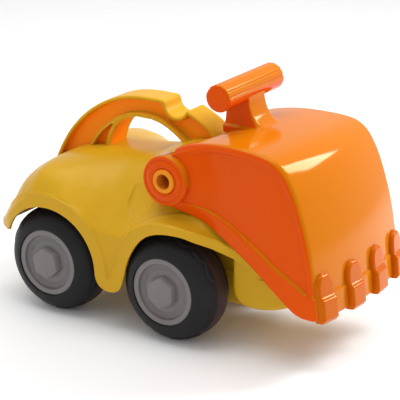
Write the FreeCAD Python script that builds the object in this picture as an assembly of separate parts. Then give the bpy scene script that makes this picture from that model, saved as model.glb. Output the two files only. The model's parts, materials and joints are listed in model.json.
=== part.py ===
import FreeCAD, Part
import math
import os
from FreeCAD import Vector

# Toy wheel loader: +X is forward, +Y is left, +Z is up, millimetres.
# The origin is on the ground under the middle of the whole toy.

# ---- driving dimensions ----
WHEEL_RADIUS = 45.0
WHEEL_FACE_Y = 81.0            # outer plane of the rims
TYRE_WIDTH = 40.5
TYRE_SHOULDER = 18.5           # radius of the round shoulders
TYRE_BULGE = 0.9               # the sidewall stands this far outside the rim
TREAD_RISE = 0.8
TREAD_EDGE = 10.0              # from the outer plane to the tread band
RIM_RADIUS = 28.4
RIM_RING_INNER = 23.4
RIM_RECESS = 3.6
RIM_WALL = 2.4
HUB_RADIUS = 9.0
HEX_CORNER_RADIUS = 13.6
HEX_PROUD = 4.3
REAR_AXLE_X = -100.0
FRONT_AXLE_X = 16.0
AXLE_Z = 45.0
AXLE_RADIUS = 2.5
BUSH_RADIUS = 5.5
BUSH_FLANGE_RADIUS = 7.5
BUSH_FLANGE = 2.0
RUNNING_GAP = 0.05             # radial clearance of everything that turns

WALL = 3.0
TRAY_HALF = 37.0
TRAY_FLOOR = 28.0
TRAY_TOP = 58.0
TRAY_REAR = -143.0
TRAY_FRONT = 64.0
APRON_HALF = 53.5
APRON_TOP = 76.0
APRON_ROUND = 4.0
NOSE_CLEAR_Z = 62.8            # the apron stays below this outside the body
# Apron in side view: its bottom from the tray to the front, then its outer and inner front.
APRON_BOTTOM = [(64.0, 54.0), (64.3, 48.0), (67.0, 41.5), (73.0, 37.3), (84.0, 36.0), (104.0, 39.6),
                (122.0, 47.5)]
APRON_NOSE = [(118.0, 58.5), (113.5, 62.8), (98.0, 62.8)]
APRON_NOSE_INNER = [(115.2, 57.2), (112.2, 59.8), (95.0, 59.8)]
WHEEL_GAP = 1.6                # room between tyres and the shell

PIVOT_X = 12.0
PIVOT_Z = 135.0
BOSS_RADIUS = 20.5
BOSS_INNER_Y = 56.2
BOSS_OUTER_Y = 72.0
TUBE_RADIUS = 9.9
TUBE_BORE = 6.3
TUBE_OUTER_Y = 73.6
TUBE_INNER_Y = 40.0
PIVOT_PAD_RADIUS = 14.5
PIVOT_PAD_Y = 55.8
TUBE_FLANGE_RADIUS = 13.0
TUBE_FLANGE = 3.0
TUBE_RIM_ROUND = 1.2

BUCKET_WALL = 3.0
BUCKET_STATIONS = (-70.0, -45.0, -20.0, 0.0, 20.0, 45.0, 70.0)
ROOM_PAST_MOUTH = 14.0
ROOM_PAST_REAR = 30.0
BUCKET_BOW = 6.0               # how far the front swells forward in plan
BOW_HALF_WIDTH = 67.0
BOW_START_X = 60.0
BOW_FULL_X = 120.0
TOOTH_WIDTH = 19.0
TOOTH_Y = (-57.0, -19.0, 19.0, 57.0)
TOOTH_LOW = 45.0
TOOTH_SPRING = 74.5            # the round top of a tooth starts here
# Tooth in side view, where the bucket's front wall doesn't swell.
TOOTH_ROOT = [(144.0, 84.0), (147.0, 60.0), (148.5, 45.0)]
TOOTH_NOSE = [(155.6, 45.0), (156.8, 48.5), (156.0, 62.6), (153.6, 64.6), (152.2, 74.0), (149.5, 80.5),
              (145.5, 84.0)]

GRIP_X = 41.7
GRIP_Z = 199.6
GRIP_RADIUS = 11.3
GRIP_HALF = 40.7
GROOVE_DEPTH = 0.9
GRIP_GROOVES = (30, 52, 74, 96, 118, 140)
STEM_HALF = 12.8
GRIP_SCREWS_X = (41.0, 55.0)

HANDLE_HALF = 12.6
HANDLE_WEB_HALF = 5.0
HANDLE_FLANGE = 3.2

SCREW_RADIUS = 1.5
PILOT_RADIUS = 1.55            # holes that the screws bite into
HEAD_ROOM = 0.3                # from the lowest point of a curved wall to a screw's head
SCREW_HEAD_RADIUS = 3.4
SCREW_HEAD_HEIGHT = 2.2
SCREW_HOLE_RADIUS = 1.7        # holes that the screws pass through
HEAD_BORE_RADIUS = 4.0
BODY_SCREW_SEAT = 46.0
BODY_POST_RADIUS = 5.0
TRAY_POST_RADIUS = 5.6
CLAMP_POST_RADIUS = 4.2
CLAMP_LOW = 50.7
CLAMP_HIGH = 54.2
CLAMP_HALF_LENGTH = 15.0
CLAMP_SCREWS_DX = (-10.0, 10.0)
PUSH_NUT_RADIUS = 4.4
BUCKET_SIDE_GAP = 0.6          # room between the bucket's arms and the body
EAR_GAP = 1.5
REAR_GAP_X = 33.0
REAR_GAP_HALF = 46.0
REAR_GAP_ROUND = 14.0
BODY_POSTS = [(x, y) for x in (-66.0, -18.0) for y in (-24.0, 24.0)]

# Cross-sections of the body, rear to front along X. Each row is x, the height of the
# middle, then the control points (half width, height) of the shoulder, the flank
# and the top of the wheel-arch lip.
BODY_SECTIONS = [
    (-162.0, 76.0, (30.0, 76.0), (42.0, 74.0), (56.0, 65.0)),
    (-157.5, 86.0, (36.0, 86.0), (46.0, 82.0), (66.5, 66.0)),
    (-150.0, 97.5, (44.0, 96.5), (55.0, 90.5), (73.0, 70.0)),
    (-140.0, 110.0, (51.0, 108.0), (66.0, 99.0), (78.5, 80.5)),
    (-127.0, 119.5, (54.0, 117.5), (73.0, 109.5), (81.0, 92.0)),
    (-110.0, 127.0, (54.0, 126.0), (76.0, 120.0), (82.0, 104.0)),
    (-88.0, 131.0, (52.0, 128.0), (72.0, 117.0), (82.0, 105.0)),
    (-66.0, 133.0, (50.0, 123.0), (66.0, 109.0), (81.5, 95.0)),
    (-46.0, 135.0, (50.0, 118.0), (62.0, 104.0), (81.0, 82.0)),
    (-30.0, 138.0, (50.0, 122.0), (60.0, 104.0), (80.5, 82.0)),
    (-12.0, 147.0, (51.0, 134.0), (58.0, 107.0), (81.0, 92.0)),
    (6.0, 152.5, (52.0, 147.0), (55.0, 107.0), (81.5, 100.5)),
    (22.0, 154.0, (53.0, 150.0), (54.0, 104.0), (81.5, 104.0)),
    (40.0, 152.0, (53.0, 147.0), (54.0, 99.0), (77.0, 101.0)),
    (56.0, 146.0, (53.0, 136.0), (54.0, 94.0), (66.0, 94.5)),
    (74.0, 133.0, (52.0, 122.0), (54.0, 96.0), (58.0, 85.0)),
    (90.0, 115.0, (50.0, 108.0), (53.0, 92.0), (56.5, 77.0)),
    (101.0, 96.0, (45.0, 93.0), (48.0, 84.0), (50.5, 70.0)),
]
BODY_BOTTOM = 20.0

# Lower edge of the body in side view, from the rear bumper to the nose.
REAR_ARCH_RADIUS = 48.5
BUMPER_EDGE_Z = 64.0
SKIRT_BOTTOM_Z = 33.0
FRONT_ARCH = [(-26.0, 37.0), (-22.0, 50.0), (-18.5, 64.0), (-7.5, 82.0), (4.5, 90.8),
              (18.5, 94.5), (33.0, 94.5), (46.0, 90.0), (61.0, 82.5), (79.0, 74.0), (104.0, 63.0)]

# Bucket in side view, top and front, from the ears to the lower front edge.
BUCKET_CROWN = [(14.0, 159.0), (27.5, 164.6), (49.5, 169.3), (70.0, 170.8), (91.0, 170.3),
                (106.0, 167.9), (116.5, 161.7), (123.0, 153.0), (128.5, 142.5), (137.0, 119.0),
                (142.5, 98.0), (146.0, 78.0), (148.5, 60.0), (150.0, 47.0)]
# Lower edge of the bucket, from the front back to the ears.
BUCKET_MOUTH = [(139.0, 47.0), (132.5, 48.6), (126.0, 52.2), (117.0, 58.8), (91.5, 77.5), (66.5, 92.5),
                (44.0, 104.5), (12.0, 114.5)]
# Room cut into the body's flanks beside the bucket, in side view.
BUCKET_RELIEF = [(12.0, 113.0), (44.0, 102.5), (66.5, 90.5), (91.5, 75.5), (117.0, 56.0), (160.0, 56.0),
                 (160.0, 185.0), (12.0, 185.0)]
# Half width of the bucket in plan.
BUCKET_PLAN = [(-15.0, 59.8), (30.0, 60.0), (107.0, 67.2), (175.0, 69.2)]

# Carry handle in side view: outside of the arch up to the notch, and after it.
HANDLE_REAR = [(-143.0, 108.0), (-130.5, 131.5), (-110.3, 154.8), (-84.2, 171.5), (-60.0, 178.3),
               (-31.5, 179.3)]
NOTCH_CENTRE = (-17.5, 178.0)
NOTCH_RADIUS = 11.2
HANDLE_FRONT = [(-6.3, 173.9), (6.3, 168.0), (16.0, 161.8), (25.5, 153.0)]
HANDLE_HOLE = [(-4.0, 141.0), (-13.0, 149.0), (-26.0, 157.0), (-38.0, 161.0), (-53.6, 161.6), (-66.5, 158.5),
               (-76.0, 151.5), (-82.0, 142.0), (-85.0, 130.0), (-86.0, 118.0)]
HANDLE_BRANCH = [(-66.5, 162.5), (-79.0, 156.0), (-91.5, 147.0), (-101.0, 136.0), (-109.5, 121.0)]
FLANGE_END = (-38.0, 179.3)     # where the outer flange meets the notch
INNER_FLANGE = [(-5.0, 146.0), (-14.0, 153.2), (-26.0, 160.4), (-38.0, 164.3), (-53.0, 165.0)]
FORK_APEX = (-83.5, 0.0, 148.0)
RECESS_FOOT = 105.0
HANDLE_SCREWS_X = (-130.0, -116.0, -2.0, 11.0)

os.makedirs("parts", exist_ok=True)


# ---- helpers ----
def save(shape, name):
    shape.exportStep("parts/" + name + ".step")
    print(name, shape.isValid(), len(shape.Solids), round(shape.Volume), shape.BoundBox)


def box(x0, x1, y0, y1, z0, z1):
    return Part.makeBox(x1 - x0, y1 - y0, z1 - z0, Vector(x0, y0, z0))


def rod_y(x, z, radius, y0, y1):
    low = min(y0, y1)
    return Part.makeCylinder(radius, abs(y1 - y0), Vector(x, low, z), Vector(0, 1, 0))


def rod_z(x, y, radius, z0, z1):
    return Part.makeCylinder(radius, z1 - z0, Vector(x, y, z0))


def mirror_y(shape):
    return shape.mirror(Vector(0, 0, 0), Vector(0, 1, 0))


def through(points):
    curve = Part.BSplineCurve()
    curve.interpolate(points)
    return curve.toShape()


def side_points(pairs, y=0.0):
    return [Vector(x, y, z) for x, z in pairs]


def side_prism(edges, half):
    face = Part.Face(Part.Wire(edges))
    face.translate(Vector(0, -half, 0))
    return face.extrude(Vector(0, 2 * half, 0))


def line(a, b):
    return Part.LineSegment(a, b).toShape()


def lines(points):
    return [line(a, b) for a, b in zip(points, points[1:])]


def inset(pairs, distance):
    """Moves each point of an open outline square to it, to the right of its direction."""
    moved = []
    last = len(pairs) - 1
    for i, (x, z) in enumerate(pairs):
        before = pairs[max(i - 1, 0)]
        after = pairs[min(i + 1, last)]
        dx = after[0] - before[0]
        dz = after[1] - before[1]
        length = math.hypot(dx, dz)
        moved.append((x + distance * dz / length, z - distance * dx / length))
    return moved


def turned(profile, axle_x, side):
    """Solid of revolution about an axle: profile is (radius, depth from the wheel's outer plane)."""
    points = [Vector(axle_x + r, side * (WHEEL_FACE_Y - d), AXLE_Z) for r, d in profile]
    face = Part.Face(Part.Wire(lines(points + points[:1])))
    solid = face.revolve(Vector(axle_x, 0, AXLE_Z), Vector(0, 1, 0), 360)
    if solid.Volume < 0:
        solid.reverse()
    return solid


def height_over(solid, x):
    """Height of the top of a solid above a point of the middle plane."""
    probe = line(Vector(x, 0, 0), Vector(x, 0, 250)).common(solid)
    return max(vertex.Z for vertex in probe.Vertexes)


def screw_seat(room, x):
    """Height of a screw's head that just clears the curved wall over it."""
    reach = SCREW_HEAD_RADIUS
    return min(height_over(room, x + dx) for dx in (-reach, 0, reach)) - HEAD_ROOM


def arc_profile(centre_r, centre_d, radius, start, end, steps=10):
    turn = [math.radians(start + (end - start) * i / steps) for i in range(steps + 1)]
    return [(centre_r + radius * math.cos(a), centre_d + radius * math.sin(a)) for a in turn]


# ---- body ----
def body_section(row, shrink, bottom):
    x, middle, shoulder, flank, lip = row
    half = [(lip[0] - shrink, lip[1] - shrink), (flank[0] - shrink, flank[1] - shrink),
            (shoulder[0] - shrink, shoulder[1] - shrink), (0.5 * shoulder[0], middle - shrink)]
    left = [Vector(x, y, z) for y, z in half]
    right = [Vector(x, -y, z) for y, z in reversed(half)]
    curve = Part.BSplineCurve()
    curve.buildFromPoles(left + [Vector(x, 0, middle - shrink)] + right, False, 3)
    low_right = Vector(x, -half[0][0], bottom)
    low_left = Vector(x, half[0][0], bottom)
    return Part.Wire([curve.toShape()] + lines([right[-1], low_right, low_left, left[0]]))


def body_block(shrink, bottom):
    rows = BODY_SECTIONS
    middle = 0.5 * (rows[0][0] + rows[-1][0])
    squeeze = 1 - 2 * shrink / (rows[-1][0] - rows[0][0])
    rows = [(middle + (row[0] - middle) * squeeze,) + row[1:] for row in rows]
    return Part.makeLoft([body_section(row, shrink, bottom) for row in rows], True, False)


def lower_edge_cut():
    """Everything under the lower edge of the body: bumper, wheel arches, skirt and nose."""
    rear_angle = math.asin((BUMPER_EDGE_Z - AXLE_Z) / REAR_ARCH_RADIUS)
    arch_start = Vector(REAR_AXLE_X - REAR_ARCH_RADIUS * math.cos(rear_angle), 0, BUMPER_EDGE_Z)
    arch_top = Vector(REAR_AXLE_X, 0, AXLE_Z + REAR_ARCH_RADIUS)
    arch_end = Vector(REAR_AXLE_X + REAR_ARCH_RADIUS, 0, AXLE_Z)
    skirt_middle = Vector(0.5 * (arch_end.x + FRONT_ARCH[0][0]), 0, SKIRT_BOTTOM_Z)
    front = side_points(FRONT_ARCH)
    outline = [line(Vector(-200, 0, BUMPER_EDGE_Z), arch_start)]
    outline.append(Part.Arc(arch_start, arch_top, arch_end).toShape())
    outline.append(Part.Arc(arch_end, skirt_middle, front[0]).toShape())
    outline.append(through(front))
    outline += lines([front[-1], Vector(200, 0, 60), Vector(200, 0, -20), Vector(-200, 0, -20),
                      Vector(-200, 0, BUMPER_EDGE_Z)])
    return side_prism(outline, 120)


def bucket_room():
    """Relief in the flanks for the bucket's ears and sides."""
    half_gap = BOSS_INNER_Y - BUCKET_SIDE_GAP
    outline = side_points(BUCKET_RELIEF)
    rooms = []
    for side in (-1, 1):
        face = Part.Face(Part.Wire(lines(outline + outline[:1])))
        face.translate(Vector(0, side * half_gap, 0))
        rooms.append(face.extrude(Vector(0, side * 40, 0)))
        rooms.append(rod_y(PIVOT_X, PIVOT_Z, BOSS_RADIUS + EAR_GAP, side * half_gap, side * 95))
    return rooms


def wheel_room():
    profile = [(5, TYRE_WIDTH + 2 * WHEEL_GAP)] + tyre_outline(WHEEL_GAP + TREAD_RISE) + [(5, -WHEEL_GAP)]
    rooms = [turned(profile, x, side) for x in (REAR_AXLE_X, FRONT_AXLE_X) for side in (-1, 1)]
    return rooms


def body_shell(block, body_room):
    skin = block.cut(body_room).cut(lower_edge_cut())
    spine = box(TRAY_REAR, TRAY_FRONT, -TRAY_HALF, TRAY_HALF, TRAY_TOP, 200)
    hollow = box(TRAY_REAR + WALL, TRAY_FRONT - WALL, -TRAY_HALF + WALL, TRAY_HALF - WALL, TRAY_TOP - 1, 201)
    inside = spine.cut(hollow).common(block)
    shell = skin.fuse(inside)
    for x, y in BODY_POSTS:
        shell = shell.fuse(rod_z(x, y, BODY_POST_RADIUS, TRAY_TOP + 2, 200).common(block))
    for side in (-1, 1):
        pad_start = side * (TUBE_INNER_Y + TUBE_FLANGE)
        pad = rod_y(PIVOT_X, PIVOT_Z, PIVOT_PAD_RADIUS, pad_start, side * PIVOT_PAD_Y)
        shell = shell.fuse(pad)
        shell = shell.cut(rod_y(PIVOT_X, PIVOT_Z, TUBE_RADIUS, side * (TUBE_INNER_Y - 2.9), side * 90))
        shell = shell.cut(tube_flange(side))
    for x, y in BODY_POSTS:
        shell = shell.cut(rod_z(x, y, PILOT_RADIUS, TRAY_TOP, TRAY_TOP + 20))
    for x in HANDLE_SCREWS_X:
        shell = shell.cut(rod_z(x, 0, PILOT_RADIUS, 90, 200))
    for room in wheel_room() + bucket_room():
        shell = shell.cut(room)
    return shell.removeSplitter()


def tube_flange(side):
    outer = TUBE_INNER_Y + TUBE_FLANGE
    return rod_y(PIVOT_X, PIVOT_Z, TUBE_FLANGE_RADIUS, side * TUBE_INNER_Y, side * outer)


def pivot_tube(side):
    tube = rod_y(PIVOT_X, PIVOT_Z, TUBE_RADIUS, side * TUBE_INNER_Y, side * TUBE_OUTER_Y)
    tube = tube.fuse(tube_flange(side))
    rim = [e for e in tube.Edges if abs(e.CenterOfMass.y - side * TUBE_OUTER_Y) < 0.01]
    tube = tube.makeFillet(TUBE_RIM_ROUND, rim)
    return tube.cut(rod_y(PIVOT_X, PIVOT_Z, TUBE_BORE, side * (TUBE_INNER_Y - 1), side * (TUBE_OUTER_Y + 1)))


# ---- base tray ----
def apron_block(bottom, nose, half):
    foot = side_points(bottom)
    front = side_points(nose)
    top_front = Vector(front[-1].x, 0, APRON_TOP)
    top_rear = Vector(foot[0].x, 0, APRON_TOP)
    return side_prism([through(foot)] + lines([foot[-1]] + front + [top_front, top_rear, foot[0]]), half)


def apron(body_room):
    """Box in front of the tray that closes the body below its nose."""
    block = apron_block(APRON_BOTTOM, APRON_NOSE, APRON_HALF)
    sides = [e for e in block.Edges if abs(abs(e.CenterOfMass.y) - APRON_HALF) < 0.01]
    rounded = [e for e in sides if e.CenterOfMass.z < 45]
    block = block.makeFillet(APRON_ROUND, rounded)
    under_nose = box(TRAY_FRONT - 1, 130, -60, 60, 0, NOSE_CLEAR_Z)
    inner_bottom = inset(APRON_BOTTOM, -WALL)
    hollow = apron_block(inner_bottom, APRON_NOSE_INNER, APRON_HALF - WALL)
    return block.common(body_room.fuse(under_nose)).cut(hollow)


def base_tray(body_room):
    tray = box(TRAY_REAR, TRAY_FRONT, -TRAY_HALF, TRAY_HALF, TRAY_FLOOR, TRAY_TOP - 0.2)
    tray = tray.makeFillet(5.0, [e for e in tray.Edges if abs(e.CenterOfMass.z - TRAY_FLOOR) < 0.01])
    hollow = box(TRAY_REAR + WALL, TRAY_FRONT - WALL, -TRAY_HALF + WALL, TRAY_HALF - WALL,
                 TRAY_FLOOR + WALL, TRAY_TOP + 1)
    tray = tray.cut(hollow)
    tray = tray.fuse(apron(body_room))
    for x, y in BODY_POSTS:
        tray = tray.fuse(rod_z(x, y, TRAY_POST_RADIUS, TRAY_FLOOR + WALL, TRAY_TOP + 2))
        tray = tray.cut(rod_z(x, y, SCREW_HOLE_RADIUS, TRAY_FLOOR - 1, TRAY_TOP + 3))
        tray = tray.cut(rod_z(x, y, HEAD_BORE_RADIUS, TRAY_FLOOR - 1, BODY_SCREW_SEAT))
    for x in (REAR_AXLE_X, FRONT_AXLE_X):
        for dx in CLAMP_SCREWS_DX:
            tray = tray.fuse(rod_z(x + dx, 0, CLAMP_POST_RADIUS, TRAY_FLOOR + WALL - 0.5, CLAMP_LOW))
            tray = tray.cut(rod_z(x + dx, 0, PILOT_RADIUS, 38, 51))
        tray = tray.cut(rod_y(x, AXLE_Z, BUSH_RADIUS, -TRAY_HALF - 1, TRAY_HALF + 1))
        slot_half = TRAY_HALF + 1
        tray = tray.cut(box(x - BUSH_RADIUS, x + BUSH_RADIUS, -slot_half, slot_half, AXLE_Z, TRAY_TOP + 1))
    return tray.removeSplitter()


def axle_bushes(x):
    bushes = []
    for side in (-1, 1):
        bush = rod_y(x, AXLE_Z, BUSH_RADIUS, side * (TRAY_HALF - WALL), side * TRAY_HALF)
        flange_end = side * (TRAY_HALF + BUSH_FLANGE)
        bush = bush.fuse(rod_y(x, AXLE_Z, BUSH_FLANGE_RADIUS, side * TRAY_HALF, flange_end))
        bushes.append(bush.cut(rod_y(x, AXLE_Z, AXLE_RADIUS + RUNNING_GAP, side * 20, side * 50)))
    return Part.makeCompound(bushes)


def axle_clamp(x):
    inner = TRAY_HALF - WALL - 0.1
    slot = BUSH_RADIUS - 0.1
    clamp = box(x - CLAMP_HALF_LENGTH, x + CLAMP_HALF_LENGTH, -inner, inner, CLAMP_LOW, CLAMP_HIGH)
    clamp = clamp.fuse(box(x - slot, x + slot, -TRAY_HALF, TRAY_HALF, CLAMP_LOW, CLAMP_HIGH))
    for dx in CLAMP_SCREWS_DX:
        clamp = clamp.cut(rod_z(x + dx, 0, SCREW_HOLE_RADIUS, 50, 55))
    return clamp


# ---- wheels ----
def tyre_outline(grow=0.0):
    """Outside of a tyre from its inner face, over the tread, to its outer face."""
    r = WHEEL_RADIUS - TREAD_RISE + grow
    s = TYRE_SHOULDER + grow
    inner_face = TYRE_WIDTH + TYRE_BULGE + grow
    outer_face = -TYRE_BULGE - grow
    lean = math.degrees(math.acos((RIM_RADIUS - r + s) / s))
    points = arc_profile(r - s, inner_face - s, s, lean, 0)
    return points + arc_profile(r - s, outer_face + s, s, 0, -lean)


def tyre(x, side):
    body = turned(tyre_outline(), x, side)
    band_low = WHEEL_RADIUS - 3.0
    tread = [(band_low, TREAD_EDGE), (WHEEL_RADIUS - 0.3, TREAD_EDGE), (WHEEL_RADIUS, TREAD_EDGE + 1),
             (WHEEL_RADIUS, TYRE_WIDTH - TREAD_EDGE - 1), (WHEEL_RADIUS - 0.3, TYRE_WIDTH - TREAD_EDGE),
             (band_low, TYRE_WIDTH - TREAD_EDGE)]
    return body.fuse(turned(tread, x, side)).removeSplitter()


def rim(x, side):
    r = RIM_RADIUS
    profile = [(AXLE_RADIUS, RIM_RECESS + 3), (HUB_RADIUS - 1, RIM_RECESS + 3), (HUB_RADIUS - 1, RIM_RECESS)]
    profile += arc_profile(RIM_RING_INNER - 2.6, RIM_RECESS - 2.6, 2.6, 90, 20, 5)
    profile += [(RIM_RING_INNER, 0.5), (RIM_RING_INNER + 0.7, 0.0), (r - 0.8, 0.0), (r, 0.8)]
    profile += [(r, TYRE_WIDTH - 1), (r - RIM_WALL, TYRE_WIDTH - 1), (r - RIM_WALL, RIM_RECESS + RIM_WALL)]
    profile += [(HUB_RADIUS, RIM_RECESS + RIM_WALL), (HUB_RADIUS, TYRE_WIDTH + 1)]
    profile += [(AXLE_RADIUS, TYRE_WIDTH + 1)]
    return turned(profile, x, side)


def hub_cap(x, side):
    face_y = side * (WHEEL_FACE_Y + HEX_PROUD)
    seat_y = side * (WHEEL_FACE_Y - RIM_RECESS)
    corners = []
    for i in range(7):
        turn = math.radians(60 * i + 30)
        corners.append(Vector(x + HEX_CORNER_RADIUS * math.cos(turn), seat_y,
                              AXLE_Z + HEX_CORNER_RADIUS * math.sin(turn)))
    hexagon = Part.Face(Part.Wire(lines(corners))).extrude(Vector(0, face_y - seat_y, 0))
    edges = [e for e in hexagon.Edges if abs(e.CenterOfMass.y - face_y) < 0.01]
    hexagon = hexagon.makeChamfer(1.0, edges)
    plug = rod_y(x, AXLE_Z, HUB_RADIUS - 1.05, seat_y, side * (WHEEL_FACE_Y - RIM_RECESS - 2.9))
    cap = hexagon.fuse(plug)
    return cap.cut(rod_y(x, AXLE_Z, 4.6, side * 70, side * (WHEEL_FACE_Y + 1.2))).removeSplitter()


def axle(x):
    end = WHEEL_FACE_Y - RIM_RECESS + 2.0
    shaft = rod_y(x, AXLE_Z, AXLE_RADIUS, -end, end)
    return shaft.makeChamfer(0.5, [e for e in shaft.Edges if abs(abs(e.CenterOfMass.y) - end) < 0.01])


def push_nuts(x):
    nuts = []
    for side in (-1, 1):
        near = side * (WHEEL_FACE_Y - RIM_RECESS - 2.9)
        far = side * (WHEEL_FACE_Y - RIM_RECESS - 1.9)
        nut = rod_y(x, AXLE_Z, PUSH_NUT_RADIUS, near, far)
        nuts.append(nut.cut(rod_y(x, AXLE_Z, AXLE_RADIUS, near, far)))
    return Part.makeCompound(nuts)


# ---- carry handle ----
def handle_outline():
    rear = side_points(HANDLE_REAR)
    front = side_points(HANDLE_FRONT)
    notch_bottom = Vector(NOTCH_CENTRE[0], 0, NOTCH_CENTRE[1] - NOTCH_RADIUS)
    hole = side_points(HANDLE_HOLE)
    edges = [through(rear)]
    edges.append(Part.Arc(rear[-1], notch_bottom, front[0]).toShape())
    edges.append(through(front))
    edges += lines([front[-1], Vector(25.5, 0, 130), Vector(-4, 0, 130), hole[0]])
    edges.append(through(hole))
    edges += lines([hole[-1], Vector(-86, 0, 100), Vector(-143, 0, 100), rear[0]])
    return edges


def on_notch(degrees, radius):
    turn = math.radians(degrees)
    return Vector(NOTCH_CENTRE[0] + radius * math.cos(turn), 0, NOTCH_CENTRE[1] + radius * math.sin(turn))


def long_recess():
    """Outline of the recess between the outer flange and the inner one, down to the body."""
    upper = side_points(inset(HANDLE_REAR[:-1] + [FLANGE_END], HANDLE_FLANGE))
    front = side_points(inset(HANDLE_FRONT, HANDLE_FLANGE)[1:])
    lower = side_points(INNER_FLANGE + HANDLE_BRANCH)
    wall = NOTCH_RADIUS + HANDLE_FLANGE
    notch = [on_notch(degrees, wall) for degrees in (205, 270, 316)]
    edges = [through(upper), line(upper[-1], notch[0]), Part.Arc(*notch).toShape()]
    edges += [line(notch[2], front[0]), through(front)]
    edges += lines([front[-1], Vector(front[-1].x, 0, lower[0].z), lower[0]])
    edges.append(through(lower))
    front_foot = Vector(lower[-1].x, 0, RECESS_FOOT)
    edges += lines([lower[-1], front_foot, Vector(upper[0].x, 0, RECESS_FOOT), upper[0]])
    return edges


def fork_recess():
    """Outline of the small triangle between the two branches of the inner flange."""
    apex = Vector(*FORK_APEX)
    branch = side_points(inset(HANDLE_BRANCH[1:], -HANDLE_FLANGE)[1:])
    hole_side = side_points(inset(HANDLE_HOLE[6:], HANDLE_FLANGE)[2:])
    edges = [through([apex] + branch)]
    rear_foot = Vector(branch[-1].x, 0, RECESS_FOOT)
    edges += lines([branch[-1], rear_foot, Vector(hole_side[-1].x, 0, RECESS_FOOT), hole_side[-1]])
    edges.append(through(hole_side[::-1] + [apex]))
    return edges


def handle_pockets():
    """The recesses of the left side, from the web out past the flanges."""
    pockets = []
    for edges in (long_recess(), fork_recess()):
        face = Part.Face(Part.Wire(edges))
        face.translate(Vector(0, HANDLE_WEB_HALF, 0))
        pockets.append(face.extrude(Vector(0, HANDLE_HALF, 0)))
    return pockets


def carry_handle(block):
    arch = side_prism(handle_outline(), HANDLE_HALF)
    for pocket in handle_pockets():
        arch = arch.cut(pocket).cut(mirror_y(pocket))
    for x in HANDLE_SCREWS_X:
        arch = arch.cut(rod_z(x, 0, PILOT_RADIUS, 90, height_over(block, x) + 9))
    arch = arch.cut(block)
    return max(arch.Solids, key=lambda solid: solid.Volume)


def handle_screws(block, body_room):
    screws = []
    for x in HANDLE_SCREWS_X:
        seat = screw_seat(body_room, x)
        shank = rod_z(x, 0, SCREW_RADIUS, seat, height_over(block, x) + 8)
        head = rod_z(x, 0, SCREW_HEAD_RADIUS, seat - SCREW_HEAD_HEIGHT, seat)
        screws.append(shank.fuse(head))
    return Part.makeCompound(screws)


def body_screws():
    screws = []
    for x, y in BODY_POSTS:
        head = rod_z(x, y, SCREW_HEAD_RADIUS, BODY_SCREW_SEAT - SCREW_HEAD_HEIGHT, BODY_SCREW_SEAT)
        screws.append(head.fuse(rod_z(x, y, SCREW_RADIUS, BODY_SCREW_SEAT, TRAY_TOP + 18)))
    return Part.makeCompound(screws)


def clamp_screws():
    screws = []
    for x in (REAR_AXLE_X, FRONT_AXLE_X):
        for dx in CLAMP_SCREWS_DX:
            head = rod_z(x + dx, 0, SCREW_HEAD_RADIUS, CLAMP_HIGH, CLAMP_HIGH + SCREW_HEAD_HEIGHT)
            screws.append(head.fuse(rod_z(x + dx, 0, SCREW_RADIUS, 40, CLAMP_HIGH)))
    return Part.makeCompound(screws)


# ---- bucket ----
def bowed(pairs, y):
    """A side outline in the plane y, moved forward by the swell of the bucket's front."""
    bow = BUCKET_BOW * (1 - (y / BOW_HALF_WIDTH) ** 2)
    moved = []
    for x, z in pairs:
        share = min(max((x - BOW_START_X) / (BOW_FULL_X - BOW_START_X), 0.0), 1.0)
        moved.append(Vector(x + bow * share, y, z))
    return moved


def outer_side(y):
    crown = bowed(BUCKET_CROWN, y)
    mouth = bowed(BUCKET_MOUTH, y)
    edges = [through(crown)] + lines([crown[-1], mouth[0]]) + [through(mouth)]
    return Part.Wire(edges + lines([mouth[-1], crown[0]]))


def inner_side(y):
    """The bucket's room in side view. It runs out past the mouth and the rear edge."""
    crown = bowed(inset(BUCKET_CROWN, BUCKET_WALL), y)
    mouth = [point - Vector(0, 0, ROOM_PAST_MOUTH) for point in bowed(BUCKET_MOUTH, y)]
    crown[-1] = Vector(crown[-1].x, y, mouth[0].z)
    low_rear = mouth[-1] - Vector(ROOM_PAST_REAR, 0, 0)
    high_rear = Vector(-ROOM_PAST_REAR, y, crown[0].z)
    edges = [through(crown)] + lines([crown[-1], mouth[0]]) + [through(mouth)]
    return Part.Wire(edges + lines([mouth[-1], low_rear, high_rear, crown[0]]))


def bucket_loft(side):
    return Part.makeLoft([side(y) for y in BUCKET_STATIONS], True, False)


def bucket_plan(depth):
    left = [Vector(x, h - depth, -50) for x, h in BUCKET_PLAN]
    right = [Vector(x, -h + depth, -50) for x, h in reversed(BUCKET_PLAN)]
    face = Part.Face(Part.Wire(lines(left + right + left[:1])))
    return face.extrude(Vector(0, 0, 300))


def bucket_block():
    return bucket_loft(outer_side).common(bucket_plan(0.0))


def bucket_room_inside():
    return bucket_loft(inner_side).common(bucket_plan(BUCKET_WALL))


def rear_gap():
    """The space between the two arms of the bucket, behind its top panel."""
    gap = box(-40, REAR_GAP_X, -REAR_GAP_HALF, REAR_GAP_HALF, 100, 200)
    corners = [e for e in gap.Edges if abs(e.CenterOfMass.x - REAR_GAP_X) < 0.01
               and abs(e.CenterOfMass.z - 150) < 1]
    return gap.makeFillet(REAR_GAP_ROUND, corners)


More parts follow.
